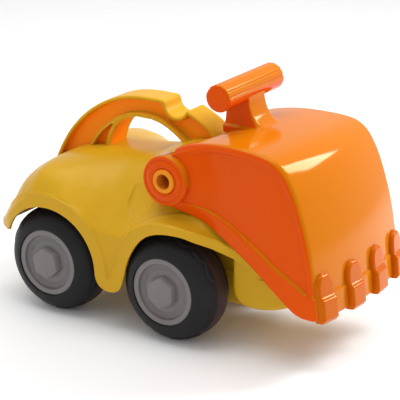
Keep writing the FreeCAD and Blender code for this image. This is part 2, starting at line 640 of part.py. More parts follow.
def bucket_shell(block, room):
    ears = []
    for side in (-1, 1):
        ears.append(rod_y(PIVOT_X, PIVOT_Z, BOSS_RADIUS, side * BOSS_INNER_Y, side * BOSS_OUTER_Y))
    shell = block.cut(room).cut(rear_gap())
    shell = max(shell.Solids, key=lambda solid: solid.Volume)
    for ear in ears:
        shell = shell.fuse(ear)
    for side in (-1, 1):
        shell = shell.cut(rod_y(PIVOT_X, PIVOT_Z, TUBE_RADIUS + RUNNING_GAP, side * 40, side * 90))
    for y in TOOTH_Y:
        shell = shell.fuse(tooth(y))
    for x in GRIP_SCREWS_X:
        shell = shell.cut(rod_z(x, 0, PILOT_RADIUS, 150, 180))
    return shell.removeSplitter()


def tooth(y):
    bow = BUCKET_BOW * (1 - (y / BOW_HALF_WIDTH) ** 2)
    outline = side_points([(x + bow, z) for x, z in TOOTH_ROOT + TOOTH_NOSE])
    face = Part.Face(Part.Wire(lines(outline + outline[:1])))
    face.translate(Vector(0, y - TOOTH_WIDTH / 2, 0))
    bar = face.extrude(Vector(0, TOOTH_WIDTH, 0))
    front = box(130, 175, y - TOOTH_WIDTH / 2, y + TOOTH_WIDTH / 2, TOOTH_LOW - 1, TOOTH_SPRING)
    dome = Part.makeCylinder(TOOTH_WIDTH / 2, 45, Vector(130, y, TOOTH_SPRING), Vector(1, 0, 0))
    return bar.common(front.fuse(dome))


def grip_screws(room):
    screws = []
    for x in GRIP_SCREWS_X:
        seat = screw_seat(room, x)
        shank = rod_z(x, 0, SCREW_RADIUS, seat, seat + 12)
        screws.append(shank.fuse(rod_z(x, 0, SCREW_HEAD_RADIUS, seat - SCREW_HEAD_HEIGHT, seat)))
    return Part.makeCompound(screws)


def bucket_grip(block):
    bar = rod_y(GRIP_X, GRIP_Z, GRIP_RADIUS, -GRIP_HALF, GRIP_HALF)
    bar = bar.makeFillet(1.0, [e for e in bar.Edges if abs(abs(e.CenterOfMass.y) - GRIP_HALF) < 0.01])
    for angle in GRIP_GROOVES:
        groove = box(GRIP_RADIUS - GROOVE_DEPTH, GRIP_RADIUS + 1, -GRIP_HALF + 2, GRIP_HALF - 2, -0.5, 0.5)
        groove.rotate(Vector(0, 0, 0), Vector(0, 1, 0), -angle)
        groove.translate(Vector(GRIP_X, 0, GRIP_Z))
        bar = bar.cut(groove)
    back = GRIP_X - GRIP_RADIUS + 0.6
    foot = [(GRIP_X + 32, 150.0), (GRIP_X + 32, 170.6), (GRIP_X + 22, 172.2), (GRIP_X + 16, 177.0)]
    neck = [(GRIP_X + 13, 184.0), (GRIP_X + GRIP_RADIUS - 0.3, GRIP_Z)]
    outline = [(back, GRIP_Z), (back, 150.0)] + foot + neck
    points = side_points(outline)
    stem = side_prism(lines(points + points[:1]), STEM_HALF)
    grip = bar.fuse(stem).cut(block).removeSplitter()
    for x in GRIP_SCREWS_X:
        grip = grip.cut(rod_z(x, 0, PILOT_RADIUS, 160, height_over(block, x) + 11))
    return max(grip.Solids, key=lambda solid: solid.Volume)


def main():
    block = body_block(0.0, BODY_BOTTOM)
    body_room = body_block(WALL, BODY_BOTTOM - 5)
    save(body_shell(block, body_room), "body_shell")
    save(carry_handle(block), "carry_handle")
    save(base_tray(body_room), "base_tray")
    save(pivot_tube(1), "pivot_tube_left")
    save(pivot_tube(-1), "pivot_tube_right")
    bucket = bucket_block()
    bucket_inside = bucket_room_inside()
    save(bucket_shell(bucket, bucket_inside), "bucket_shell")
    save(bucket_grip(bucket), "bucket_grip")
    save(grip_screws(bucket_inside), "grip_screws")
    save(handle_screws(block, body_room), "handle_screws")
    save(body_screws(), "body_screws")
    save(clamp_screws(), "clamp_screws")
    for end, x in (("front", FRONT_AXLE_X), ("rear", REAR_AXLE_X)):
        save(axle(x), end + "_axle")
        save(axle_bushes(x), end + "_axle_bushes")
        save(axle_clamp(x), end + "_axle_clamp")
        save(push_nuts(x), end + "_push_nuts")
        for name, side in (("left", 1), ("right", -1)):
            place = end + "_" + name
            save(tyre(x, side), "tyre_" + place)
            save(rim(x, side), "rim_" + place)
            save(hub_cap(x, side), "hub_cap_" + place)


main()
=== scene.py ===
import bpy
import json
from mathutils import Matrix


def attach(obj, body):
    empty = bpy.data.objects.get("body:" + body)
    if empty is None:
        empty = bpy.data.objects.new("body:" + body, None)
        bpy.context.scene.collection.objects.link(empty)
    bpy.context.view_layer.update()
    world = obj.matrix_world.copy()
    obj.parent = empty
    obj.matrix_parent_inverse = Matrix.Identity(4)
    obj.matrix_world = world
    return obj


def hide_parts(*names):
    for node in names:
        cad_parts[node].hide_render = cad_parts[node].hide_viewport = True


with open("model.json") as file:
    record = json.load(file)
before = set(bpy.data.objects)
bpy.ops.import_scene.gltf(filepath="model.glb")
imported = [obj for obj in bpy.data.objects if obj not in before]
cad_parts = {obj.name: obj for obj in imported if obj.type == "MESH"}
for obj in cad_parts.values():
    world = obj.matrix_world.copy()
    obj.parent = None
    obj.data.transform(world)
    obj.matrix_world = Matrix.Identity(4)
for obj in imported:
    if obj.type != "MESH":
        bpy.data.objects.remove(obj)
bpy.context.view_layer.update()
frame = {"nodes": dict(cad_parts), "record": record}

import json
import math

import bmesh
import bpy
import numpy as np
from bpy.props import FloatVectorProperty, PointerProperty
from mathutils import Vector

bl_info = {
    "name": "Toy wheel loader",
    "version": (1, 0, 0),
    "blender": (4, 5, 0),
    "location": "3D Viewport > Sidebar > Toy Loader",
    "description": "Builds the shells, wheels and stage of a toy wheel loader around its packed frame",
    "category": "Object",
}

MM = 0.001

# ---- shape of the body: x, middle height, shoulder, flank and lip (half width, height), in mm ----
BODY_SECTIONS = [
    (-162.0, 76.0, (30.0, 76.0), (42.0, 74.0), (55.0, 66.5)),
    (-157.5, 86.0, (36.0, 86.0), (46.0, 82.0), (65.5, 67.5)),
    (-150.0, 97.5, (44.0, 96.5), (55.0, 90.5), (72.0, 71.0)),
    (-140.0, 110.0, (51.0, 108.0), (66.0, 99.0), (77.5, 80.5)),
    (-127.0, 119.5, (54.0, 117.5), (73.0, 109.5), (80.0, 92.0)),
    (-110.0, 127.0, (54.0, 126.0), (76.0, 120.0), (81.0, 104.0)),
    (-88.0, 131.0, (52.0, 128.0), (72.0, 117.0), (81.0, 105.0)),
    (-66.0, 133.0, (50.0, 123.0), (66.0, 109.0), (80.5, 95.0)),
    (-46.0, 135.0, (50.0, 118.0), (62.0, 104.0), (80.0, 82.0)),
    (-30.0, 138.0, (50.0, 122.0), (60.0, 104.0), (79.5, 82.0)),
    (-12.0, 147.0, (51.0, 134.0), (58.0, 107.0), (80.0, 92.0)),
    (6.0, 152.5, (52.0, 147.0), (54.0, 105.0), (80.5, 100.5)),
    (22.0, 154.0, (52.0, 150.0), (53.0, 100.0), (80.5, 102.0)),
    (40.0, 152.0, (52.0, 147.0), (53.0, 95.0), (76.5, 99.0)),
    (56.0, 146.0, (52.0, 136.0), (53.0, 90.0), (65.5, 92.5)),
    (74.0, 133.0, (51.0, 122.0), (53.0, 92.0), (57.5, 83.0)),
    (90.0, 115.0, (49.0, 108.0), (52.0, 90.0), (56.0, 76.0)),
    (98.0, 101.0, (45.0, 97.0), (49.0, 86.0), (53.0, 71.0)),
    (101.0, 90.0, (42.0, 88.0), (46.0, 81.0), (49.5, 69.0)),
]
REAR_AXLE_X = -100.0
FRONT_AXLE_X = 16.0
AXLE_Z = 45.0
REAR_ARCH_RADIUS = 48.5
BUMPER_EDGE_Z = 64.0
BUMPER_X = -162.0
SKIN_REAR_X = -160.3             # leaves room for the raised lip behind it
SKIN_LENGTH = 260.8
SKIRT = [(-51.5, 45.0), (-49.0, 38.5), (-44.0, 34.3), (-38.0, 33.0), (-31.5, 34.0), (-26.6, 38.5)]
FRONT_ARCH = [(-22.5, 50.0), (-18.5, 64.0), (-7.5, 82.0), (4.5, 90.8), (18.5, 94.5), (33.0, 94.5),
              (46.0, 90.0), (61.0, 82.5), (79.0, 74.0), (101.5, 64.0)]
LIP_WIDTH = 11.3
LIP_PROUD, BEAD_PROUD = 1.1, 0.9
SCALLOP_CENTRE = (-19.5, 109.0)
SCALLOP_RADIUS = 12.0

# ---- wheels ----
WHEEL_FACE_Y = 81.0
TYRE_RADIUS = 44.2
TYRE_SHOULDER = 18.5
TYRE_WIDTH = 40.5
TYRE_BULGE = 0.9
RIM_RADIUS = 28.4
TREAD_PROUD = 0.75
TREAD_GROOVE = 0.45
HUB_FACE_Y = 85.3
HUB_SEAT_Y = 77.6
REAR_HUB_ROLL = 12.0

# ---- bucket ----
PIVOT = (12.0, 135.0)
BUCKET_CROWN = [(14.0, 159.0), (27.5, 164.6), (49.5, 169.3), (70.0, 170.8), (91.0, 170.3), (106.0, 167.9),
                (116.5, 161.7), (123.0, 153.0), (128.5, 142.5), (137.0, 119.0), (142.5, 98.0),
                (146.0, 78.0), (148.5, 60.0), (150.0, 47.0)]
BUCKET_MOUTH = [(12.0, 114.5), (44.0, 104.5), (66.5, 92.5), (91.5, 77.5), (117.0, 58.8), (126.0, 52.2),
                (132.5, 48.6), (139.0, 47.0)]
BUCKET_PLAN = [(-15.0, 59.8), (30.0, 60.0), (107.0, 67.2), (175.0, 69.2)]
BUCKET_BOW = 6.0
BUCKET_FOOT_Z = 47.0
ARM_HALF = 57.0
BUCKET_CORNER = 4.2
CREST_RISE = 1.2
FRONT_BAND_TOP = 65.5
FRONT_BAND_PROUD = 1.3
BAND_PROUD = 1.1
PANEL_RECESS = 1.7
EAR_SWELL = 6.5
BOW_HALF_WIDTH = 67.0
TOOTH_HALF = 9.5
TOOTH_LOW, TOOTH_SPRING, TOOTH_TOP = 45.0, 72.0, 82.5
TOOTH_TIP_X = 162.2
EAR_RADIUS, EAR_BORE = 20.5, 9.95
EAR_INNER_Y, EAR_OUTER_Y = 56.6, 72.0
TOOTH_Y = (-57.0, -19.0, 19.0, 57.0)

# ---- grip ----
GRIP_CENTRE = (41.7, 199.6)
GRIP_RADIUS = 11.3
GRIP_HALF = 40.7
# Post from the bar down to its foot: height, back, front, half width, radius of the front corners.
GRIP_POST = [(200.0, 31.6, 52.0, 12.6, 2.0), (190.0, 31.4, 52.8, 12.7, 2.0), (184.5, 31.3, 54.4, 12.8, 2.2),
             (180.0, 31.2, 56.6, 13.0, 2.6), (176.5, 31.1, 59.4, 13.3, 3.4), (174.0, 31.0, 62.6, 13.8, 4.6),
             (172.3, 31.0, 66.0, 14.6, 6.5), (171.4, 31.0, 69.4, 15.8, 9.0),
             (171.0, 31.0, 72.6, 17.0, 12.5), (170.5, 31.0, 73.6, 17.6, 14.0),
             (166.0, 31.2, 73.7, 17.6, 14.0), (165.0, 31.6, 73.0, 17.0, 14.0)]

# ---- carry handle ----
HANDLE_REAR = [(-143.0, 108.0), (-130.5, 131.5), (-110.3, 154.8), (-84.2, 171.5), (-60.0, 178.3),
               (-31.5, 179.3)]
NOTCH_CENTRE = (-17.5, 178.0)
NOTCH_RADIUS = 11.2
HANDLE_FRONT = [(-6.3, 173.9), (6.3, 168.0), (16.0, 161.8), (25.5, 150.0)]
HANDLE_HOLE = [(-1.0, 138.0), (-13.0, 149.0), (-26.0, 157.0), (-38.0, 161.0), (-53.6, 161.6), (-66.5, 158.5),
               (-76.0, 151.5), (-82.0, 142.0), (-85.0, 130.0), (-84.0, 120.0)]
HANDLE_BRANCH = [(-53.6, 161.6), (-66.5, 159.6), (-79.0, 153.0), (-91.0, 143.5), (-100.0, 132.0),
                 (-107.0, 117.0)]


# ---- curves and grids ----
def smooth_step(low, high, value):
    t = np.clip((value - low) / (high - low), 0.0, 1.0)
    return t * t * (3.0 - 2.0 * t)


def spline(points, count):
    """Evenly spaced points on a natural cubic curve through the given points."""
    p = np.array(points, float)
    step = np.sqrt(np.linalg.norm(np.diff(p, axis=0), axis=1))
    t = np.concatenate([[0.0], np.cumsum(step)])
    n = len(p)
    matrix = np.eye(n)
    right = np.zeros_like(p)
    for i in range(1, n - 1):
        a, b = t[i] - t[i - 1], t[i + 1] - t[i]
        matrix[i, i - 1:i + 2] = (a, 2 * (a + b), b)
        right[i] = 6 * ((p[i + 1] - p[i]) / b - (p[i] - p[i - 1]) / a)
    bend = np.linalg.solve(matrix, right)
    fine = np.linspace(0, t[-1], 40 * n)
    k = np.clip(np.searchsorted(t, fine, side="right") - 1, 0, n - 2)
    h = (t[k + 1] - t[k])[:, None]
    a = (t[k + 1] - fine)[:, None] / h
    b = 1 - a
    curve = a * p[k] + b * p[k + 1] + ((a ** 3 - a) * bend[k] + (b ** 3 - b) * bend[k + 1]) * h * h / 6
    return resample(curve, count)


def resample(curve, count):
    length = np.concatenate([[0.0], np.cumsum(np.linalg.norm(np.diff(curve, axis=0), axis=1))])
    even = np.linspace(0, length[-1], count)
    return np.stack([np.interp(even, length, curve[:, i]) for i in range(curve.shape[1])], 1)


def monotone(xs, ys, x):
    """Cubic interpolation that never overshoots its points."""
    xs, ys = np.array(xs, float), np.array(ys, float)
    width = np.diff(xs)
    slope = np.diff(ys) / width
    tangent = np.zeros_like(ys)
    same = slope[1:] * slope[:-1] > 0
    harmonic = 2 * slope[1:] * slope[:-1] / np.where(same, slope[1:] + slope[:-1], 1.0)
    tangent[1:-1] = np.where(same, harmonic, 0.0)
    tangent[0], tangent[-1] = slope[0], slope[-1]
    k = np.clip(np.searchsorted(xs, x, side="right") - 1, 0, len(xs) - 2)
    t = np.clip((x - xs[k]) / width[k], 0, 1)
    return ((1 + 2 * t) * (1 - t) ** 2 * ys[k] + t * (1 - t) ** 2 * width[k] * tangent[k]
            + t * t * (3 - 2 * t) * ys[k + 1] + t * t * (t - 1) * width[k] * tangent[k + 1])


def clamped_basis(count, params, degree=3):
    """Values of the B-spline basis with clamped ends, one row for each parameter."""
    inner = np.linspace(0, 1, count - degree + 1)
    knots = np.concatenate([[0.0] * degree, inner, [1.0] * degree])
    u = np.minimum(params, 1 - 1e-9)
    rows = [((knots[i] <= u) & (u < knots[i + 1])).astype(float) for i in range(len(knots) - 1)]
    for d in range(1, degree + 1):
        fresh = []
        for i in range(len(rows) - 1):
            left = knots[i + d] - knots[i]
            right = knots[i + d + 1] - knots[i + 1]
            value = np.zeros_like(u)
            if left > 0:
                value = value + (u - knots[i]) / left * rows[i]
            if right > 0:
                value = value + (knots[i + d + 1] - u) / right * rows[i + 1]
            fresh.append(value)
        rows = fresh
    return np.stack(rows, 1)


def distance_to_path(x, z, path):
    """Distance in side view from each point to a polyline."""
    best = np.full(np.shape(x), 1e9)
    for a, b in zip(path[:-1], path[1:]):
        d = b - a
        t = np.clip(((x - a[0]) * d[0] + (z - a[1]) * d[1]) / max(d @ d, 1e-12), 0, 1)
        best = np.minimum(best, np.hypot(x - a[0] - t * d[0], z - a[1] - t * d[1]))
    return best


def arc(centre, radius, turns):
    """Points of a circle at the given angles."""
    return [(centre[0] + radius * math.cos(a), centre[1] + radius * math.sin(a)) for a in turns]


def ring_y(centre, radius, y, turns):
    """Points round an axis along Y."""
    turned = [centre[0] + radius * np.cos(turns), np.full(len(turns), y), centre[1] + radius * np.sin(turns)]
    return np.stack(turned, 1)


def grid_normals(points):
    du = np.gradient(points, axis=0)
    dv = np.gradient(points, axis=1)
    normal = np.cross(du, dv)
    return normal / np.maximum(np.linalg.norm(normal, axis=2, keepdims=True), 1e-9)


def grid_parts(points, wrap_rows=False, wrap_columns=False, flip=False):
    """Vertices in metres and quads of a grid of points given in millimetres."""
    rows, columns = points.shape[:2]
    faces = []
    for i in range(rows if wrap_rows else rows - 1):
        for j in range(columns if wrap_columns else columns - 1):
            a, b = i * columns + j, i * columns + (j + 1) % columns
            c, d = ((i + 1) % rows) * columns + (j + 1) % columns, ((i + 1) % rows) * columns + j
            faces.append((d, c, b, a) if flip else (a, b, c, d))
    return points.reshape(-1, 3) * MM, faces


def join_parts(parts):
    vertices, faces, start = [], [], 0
    for points, quads in parts:
        vertices.append(points)
        faces += [tuple(start + i for i in quad) for quad in quads]
        start += len(points)
    return np.concatenate(vertices), faces


def piece_from(name, parts):
    vertices, faces = join_parts(parts)
    mesh = bpy.data.meshes.new(name)
    mesh.from_pydata(vertices.tolist(), [], faces)
    mesh.validate()
    clean = bmesh.new()
    clean.from_mesh(mesh)
    bmesh.ops.remove_doubles(clean, verts=clean.verts, dist=0.00001)
    bmesh.ops.dissolve_degenerate(clean, edges=clean.edges, dist=0.00001)
    clean.to_mesh(mesh)
    clean.free()
    mesh.shade_smooth()
    piece = bpy.data.objects.new(name, mesh)
    bpy.context.scene.collection.objects.link(piece)
    return piece


def settle(piece, body, slot, material, *nodes):
    piece.data.materials.clear()
    piece.data.materials.append(material)
    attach(piece, body)
    if nodes:
        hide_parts(*nodes)
    return piece


def bake_modifiers(piece):
    """Replaces the mesh by what its modifiers make of it."""
    evaluated = piece.evaluated_get(bpy.context.evaluated_depsgraph_get())
    mesh = bpy.data.meshes.new_from_object(evaluated)
    piece.modifiers.clear()
    piece.data = mesh
    mesh.shade_smooth()


# ---- materials ----
def new_group(name, inputs, outputs):
    group = bpy.data.node_groups.new(name, "ShaderNodeTree")
    for label, kind, value in inputs:
        socket = group.interface.new_socket(name=label, in_out="INPUT", socket_type=kind)
        socket.default_value = value
    for label, kind in outputs:
        group.interface.new_socket(name=label, in_out="OUTPUT", socket_type=kind)
    return group, group.nodes.new("NodeGroupInput"), group.nodes.new("NodeGroupOutput")


def math_node(tree, operation, a, b=None, clamp=False):
    node = tree.nodes.new("ShaderNodeMath")
    node.operation = operation
    node.use_clamp = clamp
    for socket, value in zip(node.inputs, (a, b)):
        if isinstance(value, (int, float)):
            socket.default_value = value
        elif value is not None:
            tree.links.new(value, socket)
    return node.outputs[0]


def noise_node(tree, coordinate, scale, detail=3.0, roughness=0.55):
    node = tree.nodes.new("ShaderNodeTexNoise")
    node.inputs["Detail"].default_value = detail
    node.inputs["Roughness"].default_value = roughness
    if isinstance(scale, (int, float)):
        node.inputs["Scale"].default_value = scale
    else:
        tree.links.new(scale, node.inputs["Scale"])
    tree.links.new(coordinate, node.inputs["Vector"])
    return node.outputs["Fac"]


def mould_grain_group():
    """Fine grain left by the mould, with slow waviness where the wall cooled."""
    group, given, result = new_group(
        "Mould grain",
        [("Grain Size", "NodeSocketFloat", 2600.0), ("Grain Depth", "NodeSocketFloat", 0.4),
         ("Waviness", "NodeSocketFloat", 0.5)],
        [("Height", "NodeSocketFloat"), ("Tone", "NodeSocketFloat")])
    place = group.nodes.new("ShaderNodeTexCoord").outputs["Object"]
    fine = noise_node(group, place, given.outputs["Grain Size"], 2.0)
    wave = noise_node(group, place, 34.0, 1.0)
    tone = noise_node(group, place, 90.0, 4.0)
    height = math_node(group, "MULTIPLY", fine, given.outputs["Grain Depth"])
    slow = math_node(group, "MULTIPLY", wave, given.outputs["Waviness"])
    group.links.new(math_node(group, "ADD", height, slow), result.inputs["Height"])
    group.links.new(tone, result.inputs["Tone"])
    return group


def edge_wear_group():
    """Mask of the rubbed outer edges, broken up by noise."""
    group, given, result = new_group(
        "Edge wear",
        [("Start", "NodeSocketFloat", 0.53), ("Spread", "NodeSocketFloat", 0.08),
         ("Amount", "NodeSocketFloat", 0.5)],
        [("Mask", "NodeSocketFloat")])
    bend = group.nodes.new("ShaderNodeNewGeometry").outputs["Pointiness"]
    place = group.nodes.new("ShaderNodeTexCoord").outputs["Object"]
    patches = noise_node(group, place, 260.0, 5.0, 0.65)
    above = math_node(group, "SUBTRACT", bend, given.outputs["Start"])
    edge = math_node(group, "DIVIDE", above, given.outputs["Spread"], clamp=True)
    broken = math_node(group, "MULTIPLY", edge, patches)
    mask = math_node(group, "MULTIPLY", broken, given.outputs["Amount"], clamp=True)
    group.links.new(mask, result.inputs["Mask"])
    return group


def scuff_group():
    """Short fine scratches and finger marks that only change the gloss."""
    group, given, result = new_group(
        "Play scuffs",
        [("Density", "NodeSocketFloat", 0.4)],
        [("Mask", "NodeSocketFloat")])
    place = group.nodes.new("ShaderNodeTexCoord").outputs["Object"]
    stretch = group.nodes.new("ShaderNodeMapping")
    stretch.inputs["Scale"].default_value = (1.0, 6.0, 1.6)
    stretch.inputs["Rotation"].default_value = (0.4, 0.7, 0.3)
    group.links.new(place, stretch.inputs["Vector"])
    lines = noise_node(group, stretch.outputs["Vector"], 420.0, 2.0)
    blot = noise_node(group, place, 60.0, 3.0)
    sharp = math_node(group, "MULTIPLY", math_node(group, "SUBTRACT", lines, 0.62), 9.0, clamp=True)
    soft = math_node(group, "MULTIPLY", math_node(group, "SUBTRACT", blot, 0.5), 3.0, clamp=True)
    both = math_node(group, "MULTIPLY", sharp, soft)
    total = math_node(group, "ADD", both, math_node(group, "MULTIPLY", blot, 0.25))
    mask = math_node(group, "MULTIPLY", total, given.outputs["Density"], clamp=True)
    group.links.new(mask, result.inputs["Mask"])
    return group


GROUPS = {}


def shared_group(name):
    # facing masks painted front light, recess masks painted shade and bounce light inside the arch, tread
    # masks the tread band's own colour.
    makers = {"grain": mould_grain_group, "wear": edge_wear_group, "scuff": scuff_group,
              "facing": painted_front_light_group, "recess": painted_arch_shade_group, "tread": tread_group}
    if name not in GROUPS:
        GROUPS[name] = makers[name]()
    return GROUPS[name]


def use_group(tree, name, **values):
    node = tree.nodes.new("ShaderNodeGroup")
    node.node_tree = shared_group(name)
    for label, value in values.items():
        node.inputs[label.replace("_", " ")].default_value = value
    return node


def mix_colour(tree, factor, a, b):
    node = tree.nodes.new("ShaderNodeMix")
    node.data_type = "RGBA"
    tree.links.new(factor, node.inputs["Factor"])
    for socket, value in ((node.inputs["A"], a), (node.inputs["B"], b)):
        if isinstance(value, tuple):
            socket.default_value = (*value, 1.0)
        else:
            tree.links.new(value, socket)
    return node.outputs["Result"]


def map_range(tree, value, low, high):
    node = tree.nodes.new("ShaderNodeMapRange")
    node.inputs["To Min"].default_value = low
    node.inputs["To Max"].default_value = high
    tree.links.new(value, node.inputs["Value"])
    return node.outputs["Result"]


def painted_front_light_group():
    """Mask of the surfaces that face along a direction of the toy, for painted front light: faces turned
    that way get a lit, yellower tone.
    """
    group, given, result = new_group(
        "Facing painted light",
        [("Direction", "NodeSocketVector", (1.0, 0.0, 0.0)), ("Start", "NodeSocketFloat", 0.2),
         ("Full", "NodeSocketFloat", 0.6)],
        [("Mask", "NodeSocketFloat")])
    normal = group.nodes.new("ShaderNodeTexCoord").outputs["Normal"]
    along = vector_node(group, "DOT_PRODUCT", normal, given.outputs["Direction"], "Value")
    mask = smooth_range(group, along, given.outputs["Start"], given.outputs["Full"])
    group.links.new(mask, result.inputs["Mask"])
    return group


def painted_arch_shade_group():
    """Mask of the deep sides and the underside of the arch, away from its outer strip, where painted shade
    and bounce light go.
    """
    group, given, result = new_group(
        "Arch recess painted shade",
        [("Centre", "NodeSocketVector", (-0.045, 0.0, 0.135)), ("Half Width", "NodeSocketFloat", 0.0126)],
        [("Mask", "NodeSocketFloat")])
    coordinates = group.nodes.new("ShaderNodeTexCoord")
    place, normal = coordinates.outputs["Object"], coordinates.outputs["Normal"]
    flat = vector_node(group, "MULTIPLY", place, (1.0, 0.0, 1.0), "Vector")
    outward = vector_node(group, "SUBTRACT", flat, given.outputs["Centre"], "Vector")
    outward = vector_node(group, "NORMALIZE", outward, None, "Vector")
    outer = vector_node(group, "DOT_PRODUCT", normal, outward, "Value")
    inward = math_node(group, "SUBTRACT", 1.0, smooth_range(group, outer, 0.15, 0.6))
    across = group.nodes.new("ShaderNodeSeparateXYZ")
    group.links.new(place, across.inputs["Vector"])
    offside = math_node(group, "ABSOLUTE", across.outputs["Y"])
    width = math_node(group, "DIVIDE", offside, given.outputs["Half Width"])
    deep = math_node(group, "SUBTRACT", 1.0, smooth_range(group, width, 0.6, 0.96))
    group.links.new(math_node(group, "MULTIPLY", inward, deep), result.inputs["Mask"])
    return group


def tread_group():
    """Mask of the tread band: everything far enough from the nearer axle."""
    group, given, result = new_group(
        "Tread band",
        [("Front Axle", "NodeSocketFloat", 0.016), ("Rear Axle", "NodeSocketFloat", -0.1),
         ("Axle Height", "NodeSocketFloat", 0.045), ("Inner Radius", "NodeSocketFloat", 0.0442),
         ("Outer Radius", "NodeSocketFloat", 0.0446)],
        [("Mask", "NodeSocketFloat")])
    place = group.nodes.new("ShaderNodeSeparateXYZ")
    group.links.new(group.nodes.new("ShaderNodeTexCoord").outputs["Object"], place.inputs["Vector"])
    reach = []
    for label in ("Front Axle", "Rear Axle"):
        offset = math_node(group, "SUBTRACT", place.outputs["X"], given.outputs[label])
        reach.append(math_node(group, "ABSOLUTE", offset))
    along = math_node(group, "MINIMUM", *reach)
    up = math_node(group, "SUBTRACT", place.outputs["Z"], given.outputs["Axle Height"])
    squares = [math_node(group, "MULTIPLY", value, value) for value in (along, up)]
    square = math_node(group, "ADD", *squares)
    radius = math_node(group, "SQRT", square)
    mask = smooth_range(group, radius, given.outputs["Inner Radius"], given.outputs["Outer Radius"])
    group.links.new(mask, result.inputs["Mask"])
    return group


def vector_node(tree, operation, a, b, output):
    node = tree.nodes.new("ShaderNodeVectorMath")
    node.operation = operation
    for socket, value in zip(node.inputs, (a, b)):
        if isinstance(value, tuple):
            socket.default_value = value
        elif value is not None:
            tree.links.new(value, socket)
    return node.outputs[output]


def smooth_range(tree, value, low, high):
    node = tree.nodes.new("ShaderNodeMapRange")
    node.interpolation_type = "SMOOTHSTEP"
    for label, limit in (("From Min", low), ("From Max", high)):
        if isinstance(limit, float):
            node.inputs[label].default_value = limit
        else:
            tree.links.new(limit, node.inputs[label])
    tree.links.new(value, node.inputs["Value"])
    return node.outputs["Result"]


def plastic(name, colour, deep, worn, rough, grain=0.35, bump=0.06, glow=0.0, wear=0.35, gloss=0.35,
            sheen=(1.0, 1.0, 1.0), tone=None):
    """Moulded plastic: colour, its slightly deeper tone, the tone of rubbed edges and the roughness range.
    tone is a second colour with the group that masks it in."""
    material = bpy.data.materials.new(name)
    material.use_nodes = True
    tree = material.node_tree
    shader = tree.nodes["Principled BSDF"]
    grain_node = use_group(tree, "grain", Grain_Depth=grain)
    wear_node = use_group(tree, "wear", Amount=wear)
    scuff_node = use_group(tree, "scuff")
    base = mix_colour(tree, grain_node.outputs["Tone"], deep, colour)
    if tone:
        tone_node = use_group(tree, tone[0], **tone[2])
        base = mix_colour(tree, tone_node.outputs["Mask"], base, tone[1])
    base = mix_colour(tree, wear_node.outputs["Mask"], base, worn)
    tree.links.new(base, shader.inputs["Base Color"])
    roughness = map_range(tree, scuff_node.outputs["Mask"], rough[0], rough[1])
    tree.links.new(roughness, shader.inputs["Roughness"])
    bump_node = tree.nodes.new("ShaderNodeBump")
    bump_node.inputs["Strength"].default_value = bump
    bump_node.inputs["Distance"].default_value = 0.0006
    tree.links.new(grain_node.outputs["Height"], bump_node.inputs["Height"])
    tree.links.new(bump_node.outputs["Normal"], shader.inputs["Normal"])
    shader.inputs["IOR"].default_value = 1.49
    shader.inputs["Specular IOR Level"].default_value = gloss
    shader.inputs["Specular Tint"].default_value = (*sheen, 1.0)
    if glow:
        shader.inputs["Subsurface Weight"].default_value = glow
        shader.inputs["Subsurface Radius"].default_value = (1.0, 0.35, 0.05)
        shader.inputs["Subsurface Scale"].default_value = 0.004
    return material


def shaded(colour, share):
    return tuple(channel * share for channel in colour)


def body_yellow(p):
    return plastic("Body yellow", tuple(p.body), shaded(p.body, 0.93), (0.72, 0.5, 0.1), (0.32, 0.5),
                   glow=0.08, gloss=0.28, sheen=(1.0, 0.85, 0.5))


def handle_amber(p):
    # The recess tone is painted shade and bounce light: the inside of the arch is painted a deeper orange.
    return plastic("Handle amber", tuple(p.handle), shaded(p.handle, 0.94), (0.8, 0.5, 0.09), (0.32, 0.5),
                   glow=0.1, gloss=0.18, sheen=(1.0, 0.75, 0.3), tone=("recess", tuple(p.recess), {}))


def bucket_orange(p):
    # The facing tone is painted front light: the bucket's front and top are painted more yellow-orange than
    # its sides.
    facing = {"Direction": (0.65, 0.0, 0.85), "Start": 0.5, "Full": 0.68}
    return plastic("Bucket orange", tuple(p.bucket), shaded(p.bucket, 0.95), (0.74, 0.16, 0.02), (0.1, 0.24),
                   grain=0.1, bump=0.02, glow=0.05, gloss=0.3, sheen=(1.0, 0.55, 0.12),
                   tone=("facing", tuple(p.bucket_front_painted_light), facing))


def tooth_orange_painted_light(p):
    # The teeth colour is the bucket orange with painted front light, between the bucket's shaded sides and
    # its lit front.
    return plastic("Tooth orange painted light", tuple(p.teeth), shaded(p.teeth, 0.95), (0.74, 0.16, 0.02), (0.12, 0.26),
                   grain=0.1, bump=0.02, glow=0.05, gloss=0.3, sheen=(1.0, 0.55, 0.12))


def rim_grey(p):
    return plastic("Rim grey", tuple(p.rim), shaded(p.rim, 0.9), (0.3, 0.29, 0.28), (0.4, 0.6),
                   grain=0.5, bump=0.1, gloss=0.35)


def tyre_rubber(p):
    return plastic("Tyre rubber", tuple(p.tyre), shaded(p.tyre, 0.8), (0.04, 0.035, 0.035), (0.45, 0.65),
                   grain=0.6, bump=0.14, gloss=0.2, tone=("tread", tuple(p.tread), {}))


def pivot_tube_amber(p):
    return plastic("Pivot tube amber", tuple(p.tube), shaded(p.tube, 0.9), (0.85, 0.4, 0.08), (0.2, 0.35),
                   glow=0.1, gloss=0.3, sheen=(1.0, 0.75, 0.3))


def bush_white(p):
    return plastic("Bush white", tuple(p.bush), shaded(p.bush, 0.89), (0.7, 0.7, 0.68), (0.35, 0.5))


def zinc_steel(p):
    material = plastic("Zinc steel", tuple(p.steel), shaded(p.steel, 0.82), (0.66, 0.66, 0.67), (0.28, 0.5),
                       grain=0.2, bump=0.1)
    material.node_tree.nodes["Principled BSDF"].inputs["Metallic"].default_value = 1.0
    return material


